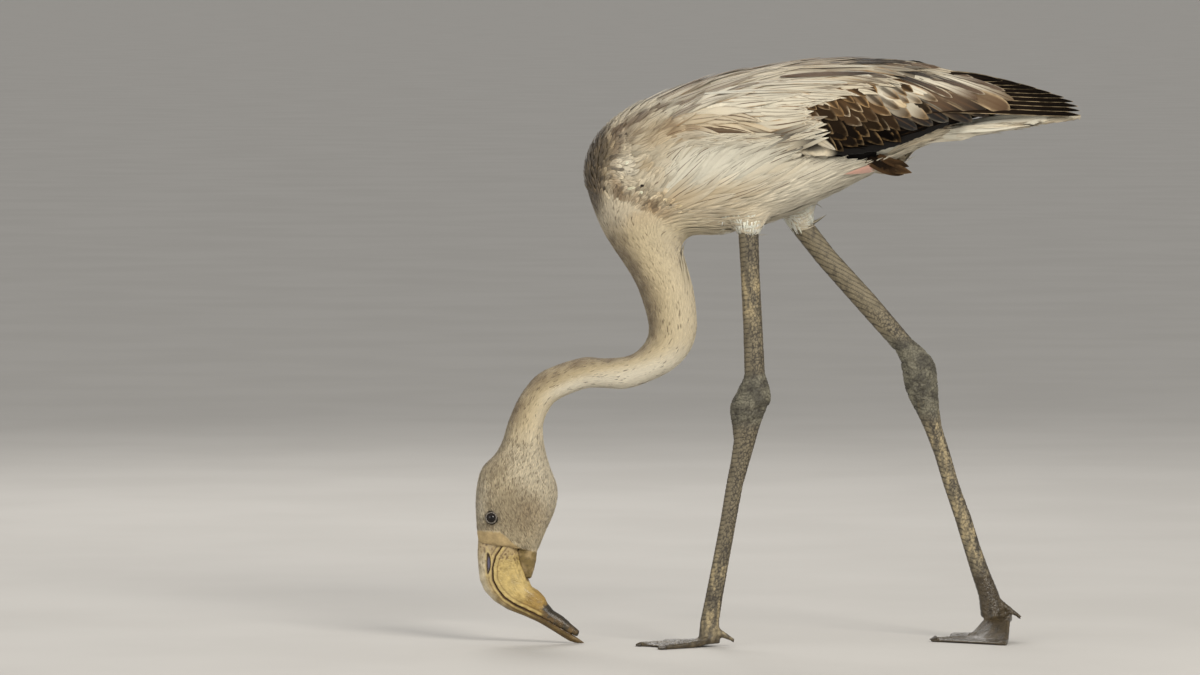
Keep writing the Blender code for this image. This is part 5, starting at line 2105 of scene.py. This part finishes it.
@dataclass
class Bill:
    """Upper and lower bill: the bend, the lips, the slit nostril, the pits and the dark tip."""

    HALVES = "upper_bill", "lower_bill"
    BEND = (0.80, 0.91)  # the middle of the bill's bend in the upper bill's box
    BEND_FROM, BEND_SWEEP = 172, 110  # degrees: where the face lies round the bend, and from there the tip

    voxel: float = 0.75 * MM
    smoothings: int = 7
    nostril: Point = (0.103, 0.815)  # in the upper bill's box
    nostril_half: Point = (2.3, 11.0)  # millimetres, across and along
    nostril_depth: float = 1.5 * MM
    pit_depth: float = 0.35 * MM
    root: float = 5 * MM  # how far the base runs on inside the head
    root_share: float = 0.94  # how wide it is there
    worn: float = 0.93  # where round the bend the tip is worn
    worn_passes: int = 60
    clear: float = 0.2 * MM  # how far the tip stays above the floor

    def __post_init__(self) -> None:
        """Takes the bill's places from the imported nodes."""
        low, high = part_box("upper_bill")
        self.low, self.size = np.array(low), np.array(high - low)
        self.bend = self.at(*self.BEND)

    def at(self, across: float, up: float) -> Array:
        """The x and z of a place in the upper bill's box."""
        return np.array([self.low[0] + across * self.size[0], self.low[2] + up * self.size[2]])

    def turn(self, points: Array) -> Array:
        """How far round the bend each place lies: 0 at the face, 1 at the tip.

        Args:
            points: places, one per row.

        Returns:
            One value for each place.
        """
        off = points[:, [0, 2]] - self.bend
        angle = np.degrees(np.arctan2(off[:, 1], off[:, 0])) % 360
        return (angle - self.BEND_FROM) / self.BEND_SWEEP

    def reach(self, points: Array) -> Array:
        """How far from the middle of the bend each place lies."""
        return np.linalg.norm(points[:, [0, 2]] - self.bend, axis=1)

    def build(self) -> None:
        """Models and colours both halves."""
        meshes = [remeshed(self.rooted(name), self.voxel, self.smoothings) for name in self.HALVES]
        for mesh in meshes:
            self.rounded(mesh)
        forms = [Surface(mesh) for mesh in meshes]
        halves = zip(self.HALVES, meshes, forms, forms[::-1], (self.upper, self.lower))
        for name, mesh, form, other, paint in halves:
            colour, sink = paint(form.points, other.gaps(form.points) / MM)
            write_points(mesh, form.points - form.normals * sink[:, None])
            write_colour(mesh, "tint", np.clip(colour, 0, 1))
            show(f"{name}_horn", mesh, HornFinish().material(), (name,))

    def rooted(self, name: str) -> Mesh:
        """A copy of one half whose base runs on into the head.

        Args:
            name: the half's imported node.

        Returns:
            The mesh of the copy.
        """
        mesh = joined_nodes([name])
        for vert in mesh.vertices:
            if vert.co.z > self.low[2] + self.size[2] - 6 * MM:
                vert.co.z += self.root
                vert.co.y *= self.root_share
        return mesh

    def shared(self, points: Array, gap: Array, colour: Array) -> Array:
        """Adds what both halves carry: streaks, the tan base, the pale lip brightened as a painted highlight,
        and the dark mouth line, the horn's brown deepened as painted shade where the halves meet.

        Args:
            points: places on the horn, one per row.
            gap: how many millimetres each lies from the other half.
            colour: the linear colours there.

        Returns:
            The new colours.
        """
        turn = self.turn(points)
        grain = ripple(points, 5 * MM, 8)
        reach = self.reach(points)
        streak = ripple(np.stack([reach * 3.4, turn * 16 * MM, points[:, 1] * 1.2], 1), 4 * MM, 31)
        colour = colour * (1 + 0.22 * streak + 0.1 * grain)[:, None]
        base = ease(0.17, 0.02, turn + 0.05 * grain)
        colour = blend(colour, Tone.LORE.linear * 1.08, 0.9 * base)
        speck = ease(0.1, 0.5, ripple(points, 2.4 * MM, 32)) * ease(0.30, 0.05, turn)
        colour = blend(colour, Tone.BILL_PIT, 0.6 * speck)
        # the pale cutting edge beside the mouth line, brightened as a painted highlight
        lip = ease(4.6, 3.6, gap) * ease(2.0, 2.8, gap)
        colour = blend(colour, Tone.BILL_PALE, 0.75 * lip)
        thin = ease(6.0, 5.3, gap) * ease(4.3, 5.0, gap) * ease(0.8, 0.6, turn)
        colour = blend(colour, Tone.BILL_PIT, 0.5 * thin)
        # the dark mouth line where the halves meet: the horn's brown, deepened as painted shade of the gap
        wide = 0.4 * ease(0.1, 0.4, turn) * ease(0.75, 0.5, turn) + 0.25 * grain
        line = Tone.BILL_LINE.linear * (1 + 0.5 * streak + 0.3 * grain)[:, None]
        return blend(colour, line, 0.92 * ease(2.1, 1.2, gap - wide))

    def upper(self, points: Array, gap: Array) -> tuple[Array, Array]:
        """Pale on the ridge, golden past the bend and darker there as painted shade on its underside, with
        the nostril sunk in.

        Args:
            points: places on the horn, one per row.
            gap: how many millimetres each lies from the other half.

        Returns:
            The linear colours, and how deep each place is sunk.
        """
        turn, grain = self.turn(points), ripple(points, 6 * MM, 9)
        colour = Tone.BILL_RIDGE.rows(len(points))
        near = ease(11.0, 5.0, gap)
        colour = blend(colour, Tone.BILL_YELLOW, 0.6 * near)
        # painted shade: past the bend the gold is darkened to 62% for the bill's shaded underside
        colour = blend(colour, Tone.BILL_GOLD.linear * 0.62, 0.9 * ease(0.30, 0.52, turn + 0.1 * grain))
        colour = self.shared(points, gap, colour)
        mud = ease(0.58, 0.72, turn + 0.06 * grain)
        colour = blend(colour, Tone.BILL_MUD.linear * (1.2 + 0.4 * grain)[:, None], 0.85 * mud)
        centre = self.at(*self.nostril)
        off = (points[:, [0, 2]] - centre) / (np.array(self.nostril_half) * MM)
        slit = np.hypot(off[:, 0] + 0.35 * off[:, 1] ** 2, off[:, 1])
        on_side = np.abs(points[:, 1]) > 1.2 * MM
        hole = ease(1.05, 0.6, slit) * on_side
        rim = ease(1.5, 1.15, slit) * ease(0.85, 1.05, slit) * on_side
        colour = blend(colour, Tone.BILL_PALE, 0.5 * ease(1.7, 1.3, slit) * on_side)
        colour = blend(colour, Tone.NOSTRIL_RIM, 0.95 * ease(1.15, 0.95, slit) * on_side)
        colour = blend(colour, Tone.NOSTRIL, 0.9 * ease(0.72, 0.45, slit) * on_side)
        return colour, hole * self.nostril_depth - rim * 0.25 * MM

    def lower(self, points: Array, gap: Array) -> tuple[Array, Array]:
        """Pale yellow with golden edges, small brown pits near the gape and a dark muddy tip.

        Args:
            points: places on the horn, one per row.
            gap: how many millimetres each lies from the other half.

        Returns:
            The linear colours, and how deep each place is sunk.
        """
        turn, grain = self.turn(points), ripple(points, 6 * MM, 10)
        reach = self.reach(points)
        colour = Tone.BILL_YELLOW.rows(len(points))
        pale = ease(0.5, 0.2, np.abs(turn - 0.28)) * ease(14 * MM, 24 * MM, reach)
        colour = blend(colour, Tone.BILL_PALE, 0.75 * pale)
        rear = ease(30 * MM, 17 * MM, reach + 4 * MM * grain)
        late = ease(0.40, 0.60, turn + 0.05 * grain)
        colour = blend(colour, Tone.BILL_GOLD, 0.9 * np.maximum(rear * 0.7, late))
        pits = np.array([noise.voronoi(Vector(p) / (3.8 * MM))[0][0] for p in points])
        where = np.maximum(ease(0.26, 0.06, turn), 0.9 * rear * (turn < 0.55))
        pit = ease(0.46, 0.28, pits) * np.clip(where, 0, 1) * (ripple(points, 9 * MM, 12) > -0.25)
        colour = blend(colour, Tone.BILL_PIT, 0.85 * pit)
        colour = self.shared(points, gap, colour)
        back = self.back_edge(points)
        colour = blend(colour, Tone.BILL_PIT, 0.8 * ease(3.6, 2.0, back) * (turn < 0.5))
        tip = ease(0.665, 0.72, turn + 0.035 * grain + 0.02 * ripple(points, 2.2 * MM, 33))
        colour = blend(colour, Tone.BILL_TIP.linear * (1 + 0.4 * grain)[:, None], 0.94 * tip)
        splash = ease(-0.5, 0.2, ripple(points, 4 * MM, 34)) * ease(9.0, 4.0, gap)
        colour = blend(colour, Tone.BILL_MUD.linear * 1.5, 0.9 * tip * splash)
        return colour, self.pit_depth * pit

    def back_edge(self, points: Array) -> Array:
        """How many millimetres each place lies from the throat's skin."""
        return Surface(joined_nodes(["gular_skin"], 0.0)).gaps(points) / MM

    def rounded(self, mesh: Mesh) -> None:
        """Wears the blunt end of a half down to a round tip.

        Args:
            mesh: the half's mesh, changed here.
        """
        bm = bmesh.new()
        bm.from_mesh(mesh)
        turn = self.turn(np.array([v.co for v in bm.verts]))
        end = [v for v, t in zip(bm.verts, turn) if t > self.worn]
        smooth(bm, end, self.worn_passes)
        for vert in end:
            vert.co.z = max(vert.co.z, self.clear)
        finished(bm, mesh)
# ---------------------------------------------------------------- eyes


@dataclass(frozen=True)
class EyeFinish:
    """A dark wet ball that carries its colour in an attribute."""

    name: str
    roughness: float = 0.06
    gloss: float = 0.08
    coat: float = 0.4

    def material(self) -> Material:
        """Builds the eye's material.

        Returns:
            The material.
        """
        g = Graph(self.name)
        g.set(Base_Color=g.tinted(g.fit(g.noise(1400.0, 2.0), 0.5, 0.75)), Roughness=self.roughness,
              Specular_IOR_Level=self.gloss, Coat_Weight=self.coat, Coat_Roughness=0.02)
        return g.material


@dataclass
class Eyes:
    """Each eye: a dark glossy ball in a ring of bare grey lid."""

    BALL, IRIS, RIM = (0.006, 0.005, 0.005), (0.014, 0.010, 0.008), (0.01, 0.008, 0.008)  # linear

    opening: float = 4.8 * MM  # the lid's inner radius
    lid_width: float = 1.0 * MM
    lid_steps: int = 64  # round the opening
    lid_sides: int = 10  # round the fold
    folds: int = 23
    pupil: float = 0.52  # of the opening
    cornea: float = 0.07  # how far the cornea stands out, of the radius

    def build(self) -> None:
        """Models both eyes and their lids."""
        for side, name in SIDES.items():
            low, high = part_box(f"eye_{name}")
            middle, radius = (low + high) / 2, (high.z - low.z) / 2
            show(f"eyeball_{name}", self.ball(middle, radius, side), EyeFinish(f"eye_{name}").material(),
                 (f"eye_{name}",))
            skin = PlainFinish(f"eyelid_{name}", 900.0, 3.0, 0.6, (0.07, 0.06, 0.05), (0.24, 0.215, 0.18),
                               (0.35, 0.7), 0.0002, 0.4)
            show(f"eyelid_{name}", self.lid(middle, radius, side), skin.material())

    def ball(self, middle: Vector, radius: float, side: int) -> Mesh:
        """Models an eyeball, coloured by how far from its axis each place is.

        Args:
            middle: its middle.
            radius: its radius.
            side: the side that it looks to.

        Returns:
            Its mesh.
        """
        bm = bmesh.new()
        bmesh.ops.create_uvsphere(bm, u_segments=64, v_segments=40, radius=radius)
        for vert in bm.verts:  # the cornea stands out a little
            outward = max(vert.co.z / radius, 0)
            vert.co *= 1 + self.cornea * max(0, (outward - 0.75) / 0.25)
        bmesh.ops.rotate(bm, verts=bm.verts, cent=(0, 0, 0), matrix=self.turned(side))
        bmesh.ops.translate(bm, verts=bm.verts, vec=middle)
        mesh = finished(bm)
        points = read_points(mesh)
        off = np.hypot(points[:, 0] - middle.x, points[:, 2] - middle.z) / self.opening
        colour = np.tile(self.BALL, (len(points), 1))
        colour = blend(colour, np.array(self.IRIS), ease(self.pupil, self.pupil + 0.12, off))
        colour = blend(colour, np.array(self.RIM), ease(0.86, 1.0, off))
        write_colour(mesh, "tint", colour)
        return mesh

    @staticmethod
    def turned(side: int) -> Matrix:
        """Turns up to the side that the eye looks at."""
        return Vector((0, 0, 1)).rotation_difference(Vector((-0.12, side, 0.05))).to_matrix()

    def lid(self, middle: Vector, radius: float, side: int) -> Mesh:
        """Models a soft ring round the opening, with fine folds.

        Args:
            middle: the eye's middle.
            radius: its radius.
            side: the side that it looks to.

        Returns:
            The lid's mesh.
        """
        bm, ring, inner = bmesh.new(), [], self.opening
        height = math.sqrt(radius ** 2 - inner ** 2)
        for k in range(self.lid_sides):
            turn = math.tau * k / self.lid_sides
            ring.append(bm.verts.new((inner + self.lid_width * (1 + math.cos(turn)) / 1.35, 0.0,
                                      height + 0.1 * MM + 0.75 * MM * math.sin(turn))))
        edges = [bm.edges.new((a, b)) for a, b in zip(ring, [*ring[1:], ring[0]])]
        bmesh.ops.spin(bm, geom=ring + edges, cent=(0, 0, 0), axis=(0, 0, 1), angle=math.tau,
                       steps=self.lid_steps, use_merge=True)
        bmesh.ops.remove_doubles(bm, verts=bm.verts, dist=WELD)
        for vert in bm.verts:
            turn = math.atan2(vert.co.y, vert.co.x)
            out = (math.hypot(vert.co.x, vert.co.y) - inner) / (2 * self.lid_width)
            vert.co.z += 0.14 * MM * math.sin(self.folds * turn) * max(out, 0) - 1.1 * MM * max(out, 0) ** 2
        bmesh.ops.recalc_face_normals(bm, faces=bm.faces)
        bmesh.ops.rotate(bm, verts=bm.verts, cent=(0, 0, 0), matrix=self.turned(side))
        bmesh.ops.translate(bm, verts=bm.verts, vec=middle)
        return finished(bm)


# ---------------------------------------------------------------- legs


@dataclass(frozen=True)
class MudBand:
    """A length of leg with dried mud, by height in millimetres."""

    low: float
    high: float
    cover: float


@dataclass(frozen=True)
class ScaleFinish:
    """Leathery scales that carry their colour in an attribute, glossy where they are damp."""

    name: str = "scaly_leather"
    dry: float = 0.62  # its roughness
    damp_gloss: float = 0.38  # how much of that the damp takes away
    gloss: float = 0.45
    relief: float = 0.0006

    @cache
    def material(self) -> Material:
        """Builds the scales' material once.

        Returns:
            The material.
        """
        g = Graph(self.name)
        fine, damp = g.noise(900.0), g.attribute("damp").outputs["Fac"]
        g.set(Base_Color=g.tinted(g.fit(g.rise(fine, 0.3, 0.7), 0.26, 0.86)),
              Roughness=g.math("SUBTRACT", self.dry, g.math("MULTIPLY", damp, self.damp_gloss)),
              Specular_IOR_Level=self.gloss)
        g.bump(g.math("ADD", fine, g.noise(260.0, 2.0)), self.relief)
        return g.material


@dataclass
class Leg:
    """One leg: scaly skin from the thigh to the webbed foot, with dried mud and horn claws."""

    side: int
    mud: tuple[MudBand, ...]
    wet: float  # the height in millimetres below which the leg is wet
    voxel: float = 1.0 * MM
    smoothings: int = 8
    groove: float = 0.32 * MM
    wrinkle: float = 1.0 * MM
    scutes: Point = (0.0, 0.3)  # how far a scute climbs over one millimetre of x and of y
    plated: float = 900.0  # the height in millimetres above which scutes go right round the shank
    dust_and_light: float = 0.42  # how pale dried dust makes the scales, laid heavier where the leg faces sideways as painted light along its middle
    into_thigh: float = 14 * MM  # how far the shank runs on inside the thigh's fluff
    scale_size: tuple[float, float, float] = (3.0, 3.0, 4.0)  # millimetres
    scute_height: float = 5.0  # millimetres
    clear: float = 0.05 * MM  # how far all of it stays above the floor
    claw_length: float = 7.5 * MM
    claw_radius: float = 2.1 * MM
    claw_turns: tuple[float, ...] = (-38, 0, 34)  # degrees that the front toes lie off straight ahead

    @staticmethod
    def axis(name: str) -> Array:
        """The way up the shank of one leg.

        Args:
            name: the side's name.

        Returns:
            A vector of length 1.
        """
        cloud = node_points(f"shank_{name}")
        order = cloud[np.argsort(cloud[:, 2])]
        way = order[-12:].mean(0) - order[:12].mean(0)
        return way / np.linalg.norm(way)

    def form(self, name: str, nodes: Sequence[str]) -> Surface:
        """Joins the leg's skin, with the shank carried up into the thigh.

        Args:
            name: the side's name.
            nodes: the leg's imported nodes.

        Returns:
            Its surface.
        """
        mesh = joined_nodes(nodes)
        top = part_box(f"shank_{name}")[1].z
        way = Vector(self.axis(name)) * self.into_thigh
        for vert in mesh.vertices:
            if vert.co.z > top - self.into_thigh:
                vert.co += way
        self.mesh = remeshed(mesh, self.voxel, self.smoothings)
        return Surface(self.mesh)

    def build(self) -> None:
        """Models and colours the leg."""
        name = SIDES[self.side]
        nodes = tuple(f"{n}_{name}" for n in ("shank", "ankle", "tarsus", "foot", "hind_toe"))
        form = self.form(name, nodes)
        points, normals = form.points, form.normals
        wide, deep, tall = self.scale_size
        cell = np.array([noise.voronoi(Vector((x / wide, y / deep, z / tall)) / MM)[0][:2]
                         for x, y, z in points.tolist()])
        net = ease(0.02, 0.26, cell[:, 1] - cell[:, 0])
        height = points[:, 2] / MM
        front = np.maximum(ease(0.1, 0.5, -normals[:, 0]),
                           ease(self.plated - 12, self.plated + 12, height))
        climb = (points[:, :2] / MM) @ self.scutes
        slant = (height + climb + 0.8 * ripple(points, 12 * MM, 25)) / self.scute_height
        plate = slant - np.floor(slant)
        scute = ease(0.0, 0.22, plate) * ease(1.0, 0.86, plate)
        relief = net * (1 - front) + scute * front
        calm = ease(14, 30, height)
        relief = relief * calm + (0.6 + 0.4 * net) * (1 - calm)
        low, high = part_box(f"ankle_{name}")
        joint = self.between(low.z / MM, high.z / MM, 8, height)
        folds = ease(0.14, 0.0, np.abs(ripple(points * (1, 1, 1.8), 8 * MM, 24)))
        folds = np.maximum(folds, 0.7 * ease(0.14, 0.0, np.abs(ripple(points * (1, 1, 1.4), 4 * MM, 29))))
        knobs = ease(0.0, -0.5, ripple(points, 7 * MM, 26))
        relief = relief * (1 - 0.5 * joint) + 0.5 * joint * (1 - folds)
        sink = (1 - relief) * self.groove + 0.15 * MM + joint * self.wrinkle * (0.6 * folds + 0.8 * knobs)
        placed = points - normals * sink[:, None]
        placed[:, 2] = np.maximum(placed[:, 2], self.clear)
        write_points(self.mesh, placed)
        flat = ease(0.25, 0.75, np.abs(normals[:, 1]))
        write_colour(self.mesh, "tint", np.clip(self.colours(points, relief, height, joint, flat), 0, 1))
        damp = ease(self.wet + 8, self.wet - 8, height)
        write_colour(self.mesh, "damp", np.repeat(damp[:, None], 3, 1))
        show(f"leg_skin_{name}", self.mesh, ScaleFinish().material(), nodes)
        self.claws(name)

    @staticmethod
    def between(low: float, high: float, fade: float, height: Array) -> Array:
        """1 between two heights, with a soft step over the fade on both sides of each."""
        return ease(low - fade, low + fade, height) * ease(high + fade, high - fade, height)

    def colours(self, points: Array, relief: Array, height: Array, joint: Array,
                flat: Array) -> Array:
        """Dark horn with darker grooves and ankle folds darkened as painted shade, with dried dust and mud
        laid heavier where it faces sideways as painted light.

        Args:
            points: places on the leg, one per row.
            relief: 0 in the grooves and 1 on the scales.
            height: each place's height in millimetres.
            joint: how far each place lies on the ankle.
            flat: how far each place faces sideways.

        Returns:
            One linear colour for each place.
        """
        grain = ripple(points * (1, 1, 0.3), 5 * MM, 20) + 0.5 * ripple(points, 3 * MM, 21)
        fine = ripple(points, 1.7 * MM, 22)
        base = Tone.LEG_HORN.rows(len(points)) * (1 + 0.35 * grain + 0.2 * fine)[:, None]
        # real dust, laid heavier where the leg faces sideways as painted light along its middle
        dust = self.dust_and_light * (0.25 + 0.75 * flat) * ease(-1.3, 0.2, grain + 0.4 * fine) * (1 - 0.75 * joint)
        base = blend(base, Tone.LEG_DUST, dust)
        lumps = ease(-0.4, 0.5, ripple(points, 10 * MM, 27) + 0.4 * fine)
        base = blend(base, Tone.LEG_JOINT.linear * (0.45 + 0.95 * lumps)[:, None], 0.85 * joint)
        cover = np.zeros(len(points))
        for band in self.mud:
            uneven = height + 26 * ripple(points, 16 * MM, 28)
            part = self.between(band.low, band.high, 18, uneven)
            cover = np.maximum(cover, part * ease(-0.15, 0.35, grain + 1.5 * (band.cover - 0.5)))
        mud = Tone.DRY_MUD.linear * (1 + 0.3 * fine + 0.2 * grain)[:, None]
        # real mud, also laid heavier where the leg faces sideways as painted light
        base = blend(base, mud, 0.88 * cover * (0.35 + 0.65 * flat))
        # dark grooves between the scales; on the ankle the same tone darkens its folds as painted shade
        base = blend(base, Tone.LEG_GROOVE_AND_FOLD_SHADE, 0.9 * (1 - relief) * (1 - 0.35 * cover))
        damp = ease(self.wet + 12, self.wet - 12, height + 9 * grain)
        return blend(base, Tone.WET_MUD.linear * (1 + 0.5 * grain + 0.3 * fine)[:, None], 0.85 * damp)

    def claws(self, name: str) -> None:
        """A small horn claw at the end of each front toe and the hind one.

        Args:
            name: the side's name.
        """
        cloud = node_points(f"foot_{name}")
        heel = np.array([node_points(f"tarsus_{name}")[:, 0].min(), 0.038 * self.side])
        bm = bmesh.new()
        for turn in self.claw_turns:
            way = np.array([-math.cos(math.radians(turn)), math.sin(math.radians(turn))])
            tip = cloud[np.argmax((cloud[:, :2] - heel) @ way)]
            self.claw(bm, Vector(tip), Vector((way[0], way[1], 0)))
        hind = node_points(f"hind_toe_{name}")
        self.claw(bm, Vector(hind[np.argmax(hind[:, 0] - hind[:, 2])]), Vector((0.8, 0, -0.6)), 0.7)
        horn = PlainFinish(f"claw_horn_{name}", 600.0, 3.0, 0.32, (0.02, 0.017, 0.013), (0.07, 0.055, 0.04))
        show(f"claws_{name}", finished(bm), horn.material())

    def claw(self, bm: bmesh.types.BMesh, tip: Vector, way: Vector, scale: float = 1.0) -> None:
        """Adds one curved claw whose point is at a toe's tip.

        Args:
            bm: what takes it.
            tip: the toe's tip.
            way: the way that the toe points.
            scale: the claw's size against the front toes'.
        """
        length = self.claw_length * scale
        horn = bmesh.new()
        bmesh.ops.create_cone(horn, cap_ends=True, segments=12, radius1=self.claw_radius * scale,
                              radius2=0.35 * MM, depth=length)
        edges = [e for e in horn.edges if abs(e.verts[0].co.z - e.verts[1].co.z) > MM]
        bmesh.ops.subdivide_edges(horn, edges=edges, cuts=3)
        turned = Vector((0, 0, 1)).rotation_difference(way.normalized()).to_matrix()
        for vert in horn.verts:
            share = vert.co.z / length + 0.5
            bulge = 1 + 0.25 * math.sin(math.pi * share)
            vert.co = Vector((vert.co.x * bulge, vert.co.y * bulge, vert.co.z))
            place = tip + turned @ (vert.co - Vector((0, 0, length / 2 - 0.3 * MM)))
            place.z += 1.6 * MM * (1 - share) ** 2
            vert.co = Vector((place.x, place.y, max(place.z, self.clear)))
        mesh = finished(horn)
        bm.from_mesh(mesh)
        bpy.data.meshes.remove(mesh)


# ---------------------------------------------------------------- the stage


@dataclass(frozen=True)
class Light:
    """A soft square lamp aimed at the bird."""

    name: str
    place: tuple[float, float, float]
    size: float
    watts: float
    colour: tuple[float, float, float] = (1.0, 1.0, 1.0)

    def hang(self, aim: Vector) -> None:
        """Adds the lamp.

        Args:
            aim: what it is turned to.
        """
        lamp = bpy.data.lights.new(self.name, "AREA")
        lamp.shape, lamp.size, lamp.energy, lamp.color = "SQUARE", self.size, self.watts, self.colour
        held = bpy.data.objects.new(self.name, lamp)
        bpy.context.scene.collection.objects.link(held)
        held.location = self.place
        held.rotation_euler = (aim - Vector(self.place)).to_track_quat("-Z", "Y").to_euler()


@dataclass
class Studio:
    """The pale floor, the soft light and the camera, low and square to the bird's side."""

    LIGHTS = (
        Light("key", (2.0, -3.4, 2.5), 1.6, 165.0, (1.0, 0.955, 0.88)),
        Light("fill", (-2.6, -2.8, 1.0), 2.4, 42.0, (1.0, 0.98, 0.95)),
        Light("rim", (-0.8, 2.6, 2.4), 1.6, 40.0, (1.0, 0.97, 0.93)),
    )

    SKY = (0.80, 0.785, 0.76, 1.0)

    aim: tuple[float, float, float] = (-0.1869, 0.0, 0.3222)
    distance: float = 9.0
    elevation: float = math.radians(2.6)
    lens: float = 257.0  # millimetres, as the next one is
    sensor: float = 36.0
    sight: float = 1000.0  # how far the camera sees
    floor_half: float = 400.0
    lit: tuple[float, float, float] = (-0.05, 0.0, 0.4)  # what the lamps are aimed at
    sky_strength: float = 0.68

    def build(self) -> None:
        """Sets floor, lights, sky and camera."""
        self.lay_floor()
        for light in self.LIGHTS:
            light.hang(Vector(self.lit))
        world = bpy.data.worlds.new("sky")
        world.use_nodes = True
        colour, strength = world.node_tree.nodes["Background"].inputs[:2]
        colour.default_value, strength.default_value = self.SKY, self.sky_strength
        bpy.context.scene.world = world
        bpy.context.scene.view_settings.view_transform = "Standard"
        self.set_camera()

    def lay_floor(self) -> None:
        """Adds the floor."""
        bm = bmesh.new()
        bmesh.ops.create_grid(bm, x_segments=1, y_segments=1, size=self.floor_half)
        mesh = finished(bm)
        stone = PlainFinish("floor", 3.0, 4.0, 0.8, (0.47, 0.455, 0.43), (0.50, 0.485, 0.46), (0.3, 0.7))
        mesh.materials.append(stone.material())
        floor = bpy.data.objects.new("floor", mesh)
        bpy.context.scene.collection.objects.link(floor)

    def set_camera(self) -> None:
        """Adds the camera."""
        scene = bpy.context.scene
        eye = bpy.data.cameras.new("camera")
        eye.lens, eye.sensor_width, eye.clip_end = self.lens, self.sensor, self.sight
        camera = bpy.data.objects.new("camera", eye)
        scene.collection.objects.link(camera)
        back = Vector((0.0, -math.cos(self.elevation), math.sin(self.elevation)))
        camera.location = Vector(self.aim) + self.distance * back
        camera.rotation_euler = (math.pi / 2 - self.elevation, 0.0, 0.0)
        scene.camera = camera


def main() -> None:
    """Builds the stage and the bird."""
    logging.basicConfig(level=logging.INFO, format="%(name)s %(message)s")
    Studio().build()
    spine = Spine()
    flow, markings, unwrap = Flow(spine), Markings(spine), Unwrap(spine)
    skin = BodySkin(spine, markings)
    skin.dress()
    plumage = Plumage(skin, flow, markings, unwrap)
    DownyNeck(plumage, spine).build()
    for number, tract in enumerate(TRACTS):
        plumage.grow(tract, 100 + number)
    for side in SIDES:
        wing = FoldedWing(side, unwrap)
        wing.build()
        wing.rear()
        Thigh(side, plumage).build(140 + side)
    Bill().build()
    Eyes().build()
    Leg(NEAR_SIDE, (MudBand(338, 392, 0.5), MudBand(12, 96, 0.5)), 12).build()
    Leg(FAR_SIDE, (MudBand(84, 236, 0.44),), 74, scutes=(0.5, 0.3), plated=350.0, dust_and_light=0.5).build()


if __name__ == "__main__":
    main()
